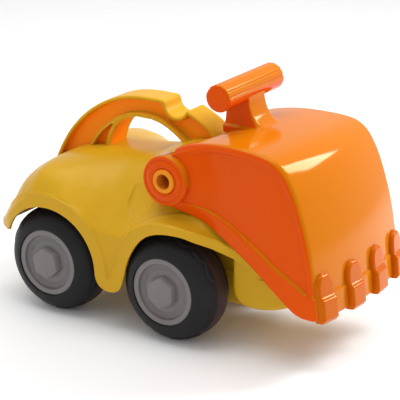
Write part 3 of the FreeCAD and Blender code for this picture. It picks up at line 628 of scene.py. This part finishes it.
MATERIAL_MAKERS = {"body": body_yellow, "handle": handle_amber, "bucket": bucket_orange,
                   "teeth": tooth_orange_painted_light, "rim": rim_grey, "tyre": tyre_rubber, "tube": pivot_tube_amber,
                   "bush": bush_white, "steel": zinc_steel}
MATERIALS = {}


def material_for(name):
    if name not in MATERIALS:
        MATERIALS[name] = MATERIAL_MAKERS[name](bpy.context.scene.toy_loader_colours)
    return MATERIALS[name]


# ---- body ----
def lower_edge():
    """Lower edge of the body in side view, from the rear bumper to the nose."""
    start = math.pi - math.asin((BUMPER_EDGE_Z - AXLE_Z) / REAR_ARCH_RADIUS)
    turn = np.linspace(start, 0, 60)
    arch = np.array(arc((REAR_AXLE_X, AXLE_Z), REAR_ARCH_RADIUS, turn))
    bumper = np.array([(BUMPER_X, BUMPER_EDGE_Z), (BUMPER_X + 10.0, BUMPER_EDGE_Z)])
    front = spline(SKIRT + FRONT_ARCH, 200)
    return resample(np.concatenate([bumper, arch, front[1:]]), 420)


def body_column(x, table):
    values = [monotone(table[0], row, x) for row in table[1:]]
    middle, lip_y, lip_z, flank_y, flank_z, shoulder_y, shoulder_z = values
    half = [(lip_y, lip_z), (flank_y, flank_z), (shoulder_y, shoulder_z), (0.5 * shoulder_y, middle)]
    return half + [(0.0, middle)] + [(-y, z) for y, z in reversed(half)]


def body_table():
    """Columns of the body's sections: x, middle height, then lip, flank and shoulder."""
    rows = [(x, middle, *lip, *flank, *shoulder) for x, middle, shoulder, flank, lip in BODY_SECTIONS]
    return list(zip(*rows))


def body_skin():
    """Outer skin as a grid: one column of points for each step along the lower edge."""
    edge = lower_edge()
    xs = edge[:, 0].copy()
    for i in range(1, len(xs)):
        xs[i] = max(xs[i], xs[i - 1] + 0.04)
    xs = SKIN_REAR_X + (xs - BUMPER_X) * SKIN_LENGTH / (xs[-1] - BUMPER_X)
    table = body_table()
    basis = clamped_basis(9, np.linspace(0, 1, 181))
    down = np.linspace(0, 1, 40)[:, None]
    columns = []
    for x, foot in zip(xs, edge[:, 1]):
        poles = np.array(body_column(x, table), float)
        top = basis @ poles
        left = top[0] + (np.array([top[0][0], min(foot, top[0][1] - 2)]) - top[0]) * down
        right = top[-1] + (np.array([top[-1][0], min(foot, top[-1][1] - 2)]) - top[-1]) * down
        section = np.concatenate([left[::-1][:-1], top, right[1:]])
        columns.append(np.column_stack([np.full(len(section), x), section]))
    return np.array(columns), edge


def raise_lip(points, edge):
    """Raised band with a bead along the wheel arches, and the thumb scallop under each pivot."""
    normal = grid_normals(points)
    outward = np.sign(np.sum(normal * np.array([0, 0, 1.0]), axis=2).mean())
    normal = normal * outward
    gap = distance_to_path(points[..., 0], points[..., 2], edge[::3])
    band = 1.0 - smooth_step(LIP_WIDTH - 0.9, LIP_WIDTH + 1.3, gap)
    bead = np.exp(-((gap - LIP_WIDTH) / 0.9) ** 2)
    side = smooth_step(40.0, 52.0, np.abs(points[..., 1])) + (points[..., 0] < -150)
    lift = (LIP_PROUD * band + BEAD_PROUD * bead) * np.clip(side, 0, 1)
    dx = points[..., 0] - SCALLOP_CENTRE[0]
    dz = np.minimum(points[..., 2] - SCALLOP_CENTRE[1], 0.0)
    reach = np.hypot(dx, dz)
    scallop = 1.0 - smooth_step(SCALLOP_RADIUS - 0.6, SCALLOP_RADIUS + 0.6, reach)
    outline = np.exp(-((reach - SCALLOP_RADIUS - 0.4) / 0.8) ** 2)
    place = (1.0 - smooth_step(112.0, 124.0, points[..., 2])) * (np.abs(points[..., 1]) > 50)
    return points + normal * (lift + (0.5 * outline - 1.2 * scallop) * place)[..., None]


def build_body():
    points, edge = body_skin()
    points = raise_lip(points, edge)
    caps = []
    for end, centre in ((0, (-161.0, 0.0, BUMPER_EDGE_Z)), (-1, (100.8, 0.0, BUMPER_EDGE_Z))):
        rings = [np.array(centre) + (points[end] - centre) * f for f in (0.985, 0.9, 0.6, 0.02)]
        caps.append(np.array(rings))
    points = np.concatenate([caps[0][::-1], points, caps[1]])
    body = piece_from("body_shell_skin", [grid_parts(points, flip=True)])
    recalculate(body)
    shell = body.modifiers.new("wall", "SOLIDIFY")
    shell.thickness = 2.6 * MM
    shell.offset = -1
    shell.use_even_offset = False
    return body


def recalculate(piece):
    mesh = bmesh.new()
    mesh.from_mesh(piece.data)
    top = max(mesh.faces, key=lambda face: face.calc_center_median().z)
    if top.normal.z < 0:
        bmesh.ops.reverse_faces(mesh, faces=mesh.faces)
    mesh.to_mesh(piece.data)
    mesh.free()


def build_spine():
    """Inner walls of the body between the wheels, from the tray up to the roof."""
    table = body_table()
    xs = np.linspace(-142.5, 63.5, 90)
    basis = clamped_basis(9, np.linspace(0, 1, 61))
    parts = []
    for side in (-1, 1):
        rows = []
        for x in xs:
            section = basis @ np.array(body_column(x, table), float)
            roof = np.interp(35.5, section[::-1][30:, 0], section[::-1][30:, 1]) - 2.0
            loop = [(34.2, 58.2), (36.8, 58.2), (36.8, roof), (34.2, roof)]
            rows.append([(x, side * y, z) for y, z in loop])
        parts.append(grid_parts(np.array(rows), wrap_columns=True, flip=side > 0))
    return piece_from("body_inner_walls", parts)


# ---- bucket ----
def plan_half(x):
    xs, hs = zip(*BUCKET_PLAN)
    return np.interp(x, xs, hs)


def bow_shift(x, y):
    share = np.clip((x - 60.0) / 60.0, 0, 1)
    share = share * share * (3 - 2 * share)
    return BUCKET_BOW * share * (1 - (y / BOW_HALF_WIDTH) ** 2)


def crown_start(y):
    """How far back the top panel reaches at y: far back at the arms, less in the middle."""
    return 41.0 - 27.0 * np.clip(np.abs(y) / ARM_HALF, 0, 1) ** 6


def bucket_rows():
    """Stations across the bucket: its kind, a share or an angle, and the side it is on."""
    rows = []
    for depth in np.linspace(1, 0, 70):
        rows.append(("side", depth, -1))
    for a in np.linspace(0, 90, 9)[1:-1]:
        rows.append(("corner", a, -1))
    for y in np.linspace(-1, 1, 75):
        rows.append(("panel", y, 0))
    for a in np.linspace(90, 0, 9)[1:-1]:
        rows.append(("corner", a, 1))
    for depth in np.linspace(0, 1, 70):
        rows.append(("side", depth, 1))
    return rows


def bucket_points():
    steps = 210
    crown = spline(BUCKET_CROWN, 600)
    mouth = spline(BUCKET_MOUTH, 600)
    lower_line = np.concatenate([mouth[::6], [[139.0, BUCKET_FOOT_Z], [165.0, BUCKET_FOOT_Z]]])
    rows = bucket_rows()
    corner = BUCKET_CORNER
    u = np.linspace(0, 1, steps)
    length = np.linspace(0, 1, 600)
    grid = np.zeros((steps, len(rows), 3))
    for j, (kind, value, side) in enumerate(rows):
        if kind == "panel":
            start_x = crown_start(value * ARM_HALF)
        else:
            start_x = 14.0
        s0 = np.interp(start_x, crown[:200, 0], length[:200])
        s = s0 + (1 - s0) * u
        px, pz = np.interp(s, length, crown[:, 0]), np.interp(s, length, crown[:, 1])
        mx, mz = np.interp(s, length, mouth[:, 0]), np.interp(s, length, mouth[:, 1])
        reach = np.maximum(np.hypot(mx - px, mz - pz), 1e-6)
        ux, uz = (mx - px) / reach, (mz - pz) / reach
        half = plan_half(px)
        if kind == "panel":
            y = value * (half - corner)
            depth = np.zeros_like(px)
        elif kind == "corner":
            turn = math.radians(value)
            y = side * (half - corner + corner * math.cos(turn))
            depth = np.full_like(px, corner * (1 - math.sin(turn)))
        else:
            depth = corner + (reach - corner) * value
            depth = np.maximum(depth, corner)
            y = side * half
        x = px + ux * depth
        z = pz + uz * depth
        if kind == "panel":
            crest = smooth_step(20, 60, px) * (1 - smooth_step(95, 125, px))
            z = z + CREST_RISE * (1 - value * value) * crest
        if kind == "side":
            gap = distance_to_path(x, z, lower_line)
            width = np.interp(x, [10, 40, 70, 110, 135], [8.0, 9.5, 13.5, 15.0, 19.5])
            band = 1 - smooth_step(-0.8, 0.8, gap - width)
            recess = smooth_step(corner + 1.8, corner + 3.4, depth) * (1 - band)
            local = plan_half(x)
            from_pivot = np.hypot(x - PIVOT[0], z - PIVOT[1])
            swell = 1 - smooth_step(16.0, 46.0, from_pivot)
            raised = BAND_PROUD * band * smooth_step(6, 22, x) + EAR_SWELL * swell
            y = side * (local - PANEL_RECESS * recess * (1 - swell) + raised)
        x = x + bow_shift(px, np.clip(y, -BOW_HALF_WIDTH, BOW_HALF_WIDTH))
        grid[:, j, 0], grid[:, j, 1], grid[:, j, 2] = x, y, z
    normal = grid_normals(grid)
    front = 1 - smooth_step(-0.8, 0.8, grid[..., 2] - FRONT_BAND_TOP)
    is_front = np.array([0.0 if kind == "side" else 1.0 for kind, _, _ in rows])[None, :]
    facing = np.sign(np.mean(normal[150, len(rows) // 2, 0]))
    return grid + normal * facing * (FRONT_BAND_PROUD * front * is_front)[..., None]


def front_surface(y, z, crown):
    """x of the bucket's front wall at a height, with its swell in plan."""
    order = np.argsort(crown[:, 1])
    lower = crown[order]
    lower = lower[lower[:, 0] > 120]
    x = np.interp(z, lower[:, 1], lower[:, 0])
    band = 1 - smooth_step(FRONT_BAND_TOP - 0.8, FRONT_BAND_TOP + 0.8, z)
    return x + bow_shift(x, y) + FRONT_BAND_PROUD * band


def tooth_part(y_middle, crown):
    """One tooth: a bullet-shaped rib on the front wall with a thicker block at its lower end."""
    half, top, low, spring = TOOTH_HALF, TOOTH_TOP, TOOTH_LOW, TOOTH_SPRING
    across = np.linspace(-1, 1, 41)
    along = np.linspace(0, 1, 111)
    grid = np.zeros((len(along) + 2, len(across) + 2, 3))
    for i, t in enumerate(np.concatenate([[0], along, [1]])):
        z = low + (top - low) * t
        dome = max(z - spring, 0.0) / (top - spring)
        width = half * math.sqrt(max(1 - dome * dome, 0.0004))
        lower = 1 - smooth_step(62.6, 64.6, z)
        proud = 4.3 + 1.3 * lower - 1.7 * (1 - smooth_step(low, low + 3.2, z))
        for j, a in enumerate(np.concatenate([[-1], across, [1]])):
            y = a * width
            rim = min(width * (1 - abs(a)), (top - z) * 0.8)
            rise = math.sqrt(1 - (1 - min(rim / 2.2, 1.0)) ** 2)
            wall = front_surface(y_middle + y, max(z, BUCKET_FOOT_Z), crown)
            x = wall + proud * (0.25 + 0.75 * rise) - 0.2
            if i in (0, len(along) + 1) or j in (0, len(across) + 1):
                x = wall - 2.4
            grid[i, j] = (min(x, TOOTH_TIP_X), y_middle + y, z)
    rear = grid[::-1].copy()
    wall = front_surface(rear[..., 1], np.maximum(rear[..., 2], BUCKET_FOOT_Z), crown)
    rear[..., 0] = np.minimum(rear[..., 0], wall - 2.4)
    return [grid_parts(grid, flip=True), grid_parts(rear, flip=True)]


def ear_part(side):
    """Thick round boss of the bucket about its pivot, with a rounded rim."""
    outer, bore, low, high = EAR_RADIUS, EAR_BORE, EAR_INNER_Y, EAR_OUTER_Y
    rim = 1.6
    profile = [(bore, low), (outer - 0.6, low), (outer, low + 0.6), (outer, high - rim)]
    profile += arc((outer - rim, high - rim), rim, np.linspace(0.3, 1.57, 5))
    profile += [(18.0, high), (17.7, high - 0.45), (17.1, high - 0.45), (16.8, high)]
    profile += [(bore + 0.7, high), (bore, high - 0.7)]
    return lathe_y(profile, PIVOT, side, 96)


def lathe_y(profile, centre, side, steps):
    """Turns (radius, distance from the middle plane) about an axis along Y."""
    turns = np.linspace(0, 2 * math.pi, steps, endpoint=False)
    rows = [ring_y(centre, r, side * y, turns) for r, y in profile]
    return grid_parts(np.array(rows), wrap_rows=True, wrap_columns=True, flip=side < 0)


def build_bucket():
    grid = bucket_points()
    skin = piece_from("bucket_skin", [grid_parts(grid)])
    recalculate(skin)
    wall = skin.modifiers.new("wall", "SOLIDIFY")
    wall.thickness = 2.7 * MM
    wall.offset = -1
    crown = spline(BUCKET_CROWN, 600)
    teeth_parts = []
    for y in TOOTH_Y:
        teeth_parts += tooth_part(y, crown)
    teeth = piece_from("bucket_teeth", teeth_parts)
    ears = piece_from("bucket_ears", [ear_part(-1), ear_part(1)])
    return skin, teeth, ears


# ---- grip ----
def bar_radius(angle):
    """Radius of the grip bar: round below, long flats with small steps above."""
    turned = (math.degrees(angle) - 8.0) % 360.0
    if turned > 156.0:
        return GRIP_RADIUS
    share = (turned % 26.0) / 26.0
    return GRIP_RADIUS - 0.25 - 0.85 * (1 - share) ** 3


def build_grip():
    half = GRIP_HALF
    angles = np.linspace(0, 2 * math.pi, 240, endpoint=False)
    radius = np.array([bar_radius(a) for a in angles])
    end = [(-half, 0.02), (-half, 0.5), (-half, 0.86), (-half + 0.15, 0.93), (-half + 0.5, 0.97),
           (-half + 1.2, 1.0)]
    middle = [(y, 1.0) for y in np.linspace(-half + 2, half - 2, 24)]
    stations = end + middle + [(-y, s) for y, s in reversed(end)]
    rows = [ring_y(GRIP_CENTRE, radius * share, y, angles) for y, share in stations]
    bar = piece_from("grip_bar", [grid_parts(np.array(rows), wrap_columns=True)])
    rows = [rounded_section(*level) for level in smooth_levels(GRIP_POST, 60)]
    rows = [shrink_ring(rows[0], 0.02)] + rows + [shrink_ring(rows[-1], 0.02)]
    stem = piece_from("grip_stem", [grid_parts(np.array(rows), wrap_columns=True)])
    return bar, stem


def smooth_levels(levels, count):
    table = np.array(levels)
    given = np.arange(len(levels))
    fine = np.linspace(0, len(levels) - 1, count)
    return np.stack([monotone(given, column, fine) for column in table.T], 1)


def rounded_section(z, back, front, half, corner):
    """Level ring of a post: square at the back, corner radius at the front."""
    points = []
    tight = 1.5
    corners = ((front - corner, -half + corner, corner, -90), (front - corner, half - corner, corner, 0),
               (back + tight, half - tight, tight, 90), (back + tight, -half + tight, tight, 180))
    for x, y, radius, start in corners:
        turns = np.radians(np.linspace(start, start + 90, 12))
        points += [(px, py, z) for px, py in arc((x, y), radius, turns)]
    return np.array(points)


def shrink_ring(ring, share):
    middle = ring.mean(0)
    return middle + (ring - middle) * share


# ---- carry handle ----
def strip_part(path, half, thickness):
    """A band that follows a side-view path, hanging inwards from it, with rounded edges."""
    count = len(path)
    tangent = np.gradient(path, axis=0)
    tangent /= np.linalg.norm(tangent, axis=1, keepdims=True)
    inward = np.stack([tangent[:, 1], -tangent[:, 0]], 1)
    r = 0.45 * thickness
    loop = []
    corners = ((half - r, r, -90), (half - r, thickness - r, 0), (-half + r, thickness - r, 90),
               (-half + r, r, 180))
    for y, depth, start in corners:
        loop += arc((y, depth), r, np.radians(np.linspace(start, start + 90, 4)))
    rows = []
    for k in range(count):
        rows.append([(path[k, 0] + inward[k, 0] * i, y, path[k, 1] + inward[k, 1] * i) for y, i in loop])
    rows = np.array(rows)
    rows = np.concatenate([[shrink_ring(rows[0], 0.02)], rows, [shrink_ring(rows[-1], 0.02)]])
    return grid_parts(rows, wrap_columns=True)


def plate_part(outer, inner, half):
    """Web plate between two side-view paths with the same number of points."""
    rows = []
    for a, b in zip(outer, inner):
        rows.append([(a[0], half, a[1]), (b[0], half, b[1]), (b[0], -half, b[1]), (a[0], -half, a[1])])
    rows = np.array(rows)
    rows = np.concatenate([[shrink_ring(rows[0], 0.02)], rows, [shrink_ring(rows[-1], 0.02)]])
    return grid_parts(rows, wrap_columns=True)


def notch_path():
    return arc(NOTCH_CENTRE, NOTCH_RADIUS, np.radians(np.linspace(188, 340, 16)))


def grown(path, distance):
    """Moves a side-view path outwards."""
    tangent = np.gradient(path, axis=0)
    tangent /= np.linalg.norm(tangent, axis=1, keepdims=True)
    return path + distance * np.stack([-tangent[:, 1], tangent[:, 0]], 1)


def build_handle():
    rear = spline(HANDLE_REAR, 90)
    rear = np.concatenate([rear, [(-29.6, 178.8)]])
    notch = np.array(notch_path())
    front = spline(HANDLE_FRONT, 30)
    outer = grown(resample(np.concatenate([rear, notch, front]), 220), 0.4)
    hole = spline(HANDLE_HOLE, 160)
    branch = spline(HANDLE_BRANCH, 80)
    inner_line = resample(np.concatenate([branch[::-1][:-1], hole[:64][::-1]]), 220)
    half = 12.6
    parts = [strip_part(outer, half, 3.2)]
    parts.append(strip_part(hole[::-1], half, -3.0))
    parts.append(strip_part(branch[::-1], half, -2.6))
    parts.append(plate_part(outer, inner_line, 5.0))
    seat_line = resample(hole[64:], 60)
    branch_line = resample(branch, 60)
    parts.append(plate_part(branch_line, seat_line, 5.0))
    handle = piece_from("carry_handle_arch", parts)
    merge = handle.modifiers.new("merge", "REMESH")
    merge.mode = "VOXEL"
    merge.voxel_size = 0.65 * MM
    soften = handle.modifiers.new("soften", "SMOOTH")
    soften.factor = 0.5
    soften.iterations = 4
    bake_modifiers(handle)
    return handle


# ---- wheels ----
def tyre_part(x, side):
    radius, shoulder, rim, width, face = TYRE_RADIUS, TYRE_SHOULDER, RIM_RADIUS, TYRE_WIDTH, WHEEL_FACE_Y
    lean = math.acos((rim - radius + shoulder) / shoulder)
    outer_face = face + TYRE_BULGE
    inner_face = face - width - TYRE_BULGE
    turn = np.linspace(0, 2 * math.pi, 288, endpoint=False)
    profile = arc((radius - shoulder, outer_face - shoulder), shoulder, np.linspace(lean, 0, 34))
    for y in np.linspace(outer_face - shoulder, inner_face + shoulder, 10)[1:-1]:
        profile.append((radius, y))
    profile += arc((radius - shoulder, inner_face + shoulder), shoulder, np.linspace(0, -lean, 34))
    profile += [(rim, inner_face + 0.4), (rim - 0.2, face - 20), (rim, outer_face - 0.4)]
    profile = np.array(profile)
    middle = face - width / 2
    phase = 0.4 if side > 0 else 0.0
    border = 10.6 + 1.3 * np.sin(16 * turn + phase) + 0.5 * np.sin(32 * turn + 1.1)
    rows = []
    for r, y in profile:
        gap = border - abs(y - middle)
        on_tread = smooth_step(-0.2, 0.7, gap) if r > 34 else 0.0 * gap
        groove = np.exp(-((gap + 0.3) / 0.55) ** 2) if r > 34 else 0.0 * gap
        swollen = r + TREAD_PROUD * on_tread - TREAD_GROOVE * groove
        rows.append(ring_y((x, AXLE_Z), swollen, side * y, turn))
    return grid_parts(np.array(rows), wrap_rows=True, wrap_columns=True, flip=side > 0)


def rim_part(x, side):
    face, ring, inner, width = WHEEL_FACE_Y, RIM_RADIUS, 23.4, TYRE_WIDTH
    dish = face - 3.8
    back = face - width
    profile = [(2.6, dish - 3.0), (8.2, dish - 3.0), (8.2, dish + 1.0), (9.0, dish + 1.2),
               (16.6, dish + 1.2), (17.6, dish + 1.05), (18.6, dish + 0.55), (19.6, dish + 0.1),
               (20.4, dish)]
    profile += arc((20.6, dish + 2.8), 2.8, np.radians(np.linspace(-80, 0, 8)))
    profile += arc((inner + 0.9, face - 0.9), 0.9, np.radians(np.linspace(180, 90, 6)))
    profile += arc((ring - 1.1, face - 1.1), 1.1, np.radians(np.linspace(90, 0, 6)))
    profile += [(ring, back + 2), (ring - 0.5, back + 1), (ring - 2.4, back + 1), (ring - 2.4, dish - 2.4),
                (9.0, dish - 2.4), (9.0, back - 1), (2.6, back - 1)]
    return lathe_y(profile, (x, AXLE_Z), side, 144)


def hub_cap(name, x, side, roll):
    """Six-sided cap with a drafted wall and a softened edge."""
    face, base = HUB_FACE_Y, HUB_SEAT_Y
    rings = []
    levels = ((13.9, base), (13.9, base + 0.8), (13.3, face - 0.9), (12.9, face - 0.25), (12.3, face),
              (0.2, face))
    for radius, y in levels:
        ring = []
        for k in range(6):
            a, b = (math.radians(60 * (k + m) + 30 + roll) for m in (0, 1))
            for t in np.linspace(0, 1, 10, endpoint=False):
                px = (1 - t) * math.cos(a) + t * math.cos(b)
                pz = (1 - t) * math.sin(a) + t * math.sin(b)
                soften = 1.0 - 0.035 * (max(abs(t - 0.5) * 2 - 0.75, 0) / 0.25) ** 2
                ring.append((x + radius * px * soften, side * y, AXLE_Z + radius * pz * soften))
        rings.append(ring)
    return piece_from(name, [grid_parts(np.array(rings), wrap_columns=True, flip=side < 0)])


# ---- stage ----
def area_light(name, place, target, size, power, colour=(1, 1, 1)):
    light = bpy.data.lights.new(name, "AREA")
    light.shape = "RECTANGLE"
    light.size, light.size_y = size
    light.energy = power
    light.color = colour
    lamp = bpy.data.objects.new(name, light)
    lamp.location = place
    lamp.rotation_euler = (Vector(target) - Vector(place)).to_track_quat("-Z", "Y").to_euler()
    bpy.context.scene.collection.objects.link(lamp)
    return lamp


def build_stage():
    floor_mesh = bpy.data.meshes.new("floor")
    size = 6.0
    corners = [(-size, -size, 0), (size, -size, 0), (size, size, 0), (-size, size, 0)]
    floor_mesh.from_pydata(corners, [], [(0, 1, 2, 3)])
    floor = bpy.data.objects.new("floor", floor_mesh)
    bpy.context.scene.collection.objects.link(floor)
    material = bpy.data.materials.new("Pale floor")
    material.use_nodes = True
    shader = material.node_tree.nodes["Principled BSDF"]
    shader.inputs["Base Color"].default_value = (0.95, 0.95, 0.95, 1)
    shader.inputs["Roughness"].default_value = 0.7
    floor.data.materials.append(material)
    world = bpy.data.worlds.new("Studio") if not bpy.context.scene.world else bpy.context.scene.world
    bpy.context.scene.world = world
    world.use_nodes = True
    world.node_tree.nodes["Background"].inputs["Color"].default_value = (1, 1, 1, 1)
    world.node_tree.nodes["Background"].inputs["Strength"].default_value = 0.77
    area_light("streak_light", (0.49, 0.57, 0.70), (0.1, 0, 0.15), (0.26, 0.44), 7.5)
    area_light("overhead_softbox", (-0.2, -0.1, 1.3), (0, 0, 0.08), (0.8, 0.8), 7)


def set_colour_view():
    """Plain display transform, so that the plastics keep their full colour."""
    view = bpy.context.scene.view_settings
    view.view_transform = "Standard"
    view.look = "None"


def build_camera():
    azimuth, elevation = math.radians(33.72), math.radians(20.48)
    distance = 1.5232
    aim = Vector((-0.00225, 0.0, 0.072))
    level = math.cos(elevation)
    back = Vector((math.sin(azimuth) * level, -math.cos(azimuth) * level, math.sin(elevation)))
    data = bpy.data.cameras.new("camera")
    data.sensor_width = 36.0
    data.lens = 165.03
    data.shift_x = 0.001
    data.shift_y = 0.0665
    camera = bpy.data.objects.new("camera", data)
    camera.location = aim + back * distance
    camera.rotation_euler = (-back).to_track_quat("-Z", "Y").to_euler()
    bpy.context.scene.collection.objects.link(camera)
    bpy.context.scene.camera = camera


# ---- add-on ----
class ToyLoaderColours(bpy.types.PropertyGroup):
    body: FloatVectorProperty(name="Body", description="Colour of the body shell", subtype="COLOR",
                              default=(0.60, 0.335, 0.010), min=0, max=1)
    handle: FloatVectorProperty(name="Handle", description="Colour of the carry handle", subtype="COLOR",
                                default=(0.66, 0.34, 0.012), min=0, max=1)
    bucket: FloatVectorProperty(name="Bucket", description="Colour of the bucket and its grip",
                                subtype="COLOR", default=(0.70, 0.070, 0.001), min=0, max=1)
    # Painted front light: the lit tone painted on the bucket's front wall and top.
    bucket_front_painted_light: FloatVectorProperty(name="Bucket front painted light", description="Colour of the bucket's front wall",
                                      subtype="COLOR", default=(0.57, 0.155, 0.002), min=0, max=1)
    # Bucket orange with painted front light on the teeth.
    teeth: FloatVectorProperty(name="Teeth", description="Colour of the bucket's teeth", subtype="COLOR",
                               default=(0.55, 0.105, 0.001), min=0, max=1)
    # Painted shade and bounce light inside the arch.
    recess: FloatVectorProperty(name="Arch recess painted shade", description="Colour inside the arch", subtype="COLOR",
                                default=(1.0, 0.27, 0.003), min=0, max=1)
    rim: FloatVectorProperty(name="Rims", description="Colour of the rims and hub caps", subtype="COLOR",
                             default=(0.19, 0.172, 0.168), min=0, max=1)
    tyre: FloatVectorProperty(name="Tyres", description="Colour of the tyres", subtype="COLOR",
                              default=(0.012, 0.011, 0.012), min=0, max=1)
    tread: FloatVectorProperty(name="Treads", description="Colour of the tread bands", subtype="COLOR",
                               default=(0.040, 0.021, 0.020), min=0, max=1)
    tube: FloatVectorProperty(name="Pivot tubes", description="Colour of the pivot tubes", subtype="COLOR",
                              default=(0.80, 0.24, 0.006), min=0, max=1)
    bush: FloatVectorProperty(name="Bushes", description="Colour of the axle bushes", subtype="COLOR",
                              default=(0.62, 0.62, 0.58), min=0, max=1)
    steel: FloatVectorProperty(name="Steel", description="Colour of the axles and screws", subtype="COLOR",
                               default=(0.52, 0.53, 0.54), min=0, max=1)


class TOYLOADER_OT_body(bpy.types.Operator):
    """Build the body shell and its inner walls"""
    bl_idname = "toyloader.body"
    bl_label = "Body"

    def execute(self, context):
        skin = build_body()
        settle(skin, "chassis", "yellow_plastic", material_for("body"), "body_shell")
        settle(build_spine(), "chassis", "yellow_plastic", material_for("body"))
        return {"FINISHED"}


class TOYLOADER_OT_handle(bpy.types.Operator):
    """Build the carry handle"""
    bl_idname = "toyloader.handle"
    bl_label = "Carry handle"

    def execute(self, context):
        settle(build_handle(), "chassis", "amber_plastic", material_for("handle"), "carry_handle")
        return {"FINISHED"}


class TOYLOADER_OT_bucket(bpy.types.Operator):
    """Build the bucket with its teeth and ears"""
    bl_idname = "toyloader.bucket"
    bl_label = "Bucket"

    def execute(self, context):
        skin, teeth, ears = build_bucket()
        settle(skin, "bucket", "orange_plastic", material_for("bucket"), "bucket_shell")
        settle(teeth, "bucket", "orange_plastic", material_for("teeth"))
        settle(ears, "bucket", "orange_plastic", material_for("bucket"))
        return {"FINISHED"}


class TOYLOADER_OT_grip(bpy.types.Operator):
    """Build the grip bar and its post"""
    bl_idname = "toyloader.grip"
    bl_label = "Grip"

    def execute(self, context):
        bar, stem = build_grip()
        settle(bar, "bucket", "orange_plastic", material_for("bucket"), "bucket_grip")
        settle(stem, "bucket", "orange_plastic", material_for("bucket"))
        return {"FINISHED"}


class TOYLOADER_OT_wheels(bpy.types.Operator):
    """Build the tyres, rims and hub caps"""
    bl_idname = "toyloader.wheels"
    bl_label = "Wheels"

    def execute(self, context):
        for end, x in (("front", FRONT_AXLE_X), ("rear", REAR_AXLE_X)):
            for place, side in (("left", 1), ("right", -1)):
                where = end + "_" + place
                body = end + "_wheels"
                tyre = piece_from("tyre_mesh_" + where, [tyre_part(x, side)])
                settle(tyre, body, "tyre_rubber", material_for("tyre"), "tyre_" + where)
                rim = piece_from("rim_mesh_" + where, [rim_part(x, side)])
                settle(rim, body, "grey_plastic", material_for("rim"), "rim_" + where)
                cap = hub_cap("hub_cap_mesh_" + where, x, side, REAR_HUB_ROLL if end == "rear" else 0.0)
                settle(cap, body, "grey_plastic", material_for("rim"), "hub_cap_" + where)
        return {"FINISHED"}


class TOYLOADER_OT_running_gear(bpy.types.Operator):
    """Give the tray, axles, bushes, clamps and screws their finishes"""
    bl_idname = "toyloader.running_gear"
    bl_label = "Running gear"

    def execute(self, context):
        finishes = {"yellow_plastic": "body", "amber_plastic": "handle", "orange_plastic": "bucket",
                    "grey_plastic": "rim", "bush_plastic": "bush", "tyre_rubber": "tyre", "steel": "steel"}
        slots = {row["node"]: row["material_slot"] for row in frame["record"]["subparts"]}
        for name, node in frame["nodes"].items():
            node.data.materials.clear()
            finish = "tube" if name.startswith("pivot_tube") else finishes[slots[name]]
            node.data.materials.append(material_for(finish))
        return {"FINISHED"}


class TOYLOADER_OT_stage(bpy.types.Operator):
    """Set the floor, the lights and the camera"""
    bl_idname = "toyloader.stage"
    bl_label = "Stage"

    def execute(self, context):
        build_stage()
        build_camera()
        set_colour_view()
        return {"FINISHED"}


STEPS = ("stage", "body", "handle", "bucket", "grip", "wheels", "running_gear")


class TOYLOADER_PT_panel(bpy.types.Panel):
    """Lists the steps that build the toy loader"""
    bl_idname = "TOYLOADER_PT_panel"
    bl_label = "Toy Loader"
    bl_space_type = "VIEW_3D"
    bl_region_type = "UI"
    bl_category = "Toy Loader"

    def draw(self, context):
        for step in STEPS:
            self.layout.operator("toyloader." + step)
        for name in ("body", "handle", "bucket", "rim", "tyre"):
            self.layout.prop(context.scene.toy_loader_colours, name)


CLASSES = (ToyLoaderColours, TOYLOADER_OT_body, TOYLOADER_OT_handle, TOYLOADER_OT_bucket, TOYLOADER_OT_grip,
           TOYLOADER_OT_wheels, TOYLOADER_OT_running_gear, TOYLOADER_OT_stage, TOYLOADER_PT_panel)


def register():
    for item in CLASSES:
        bpy.utils.register_class(item)
    bpy.types.Scene.toy_loader_colours = PointerProperty(type=ToyLoaderColours)


def unregister():
    del bpy.types.Scene.toy_loader_colours
    for item in reversed(CLASSES):
        bpy.utils.unregister_class(item)


def main():
    register()
    for step in STEPS:
        getattr(bpy.ops.toyloader, step)()


if __name__ == "__main__":
    main()
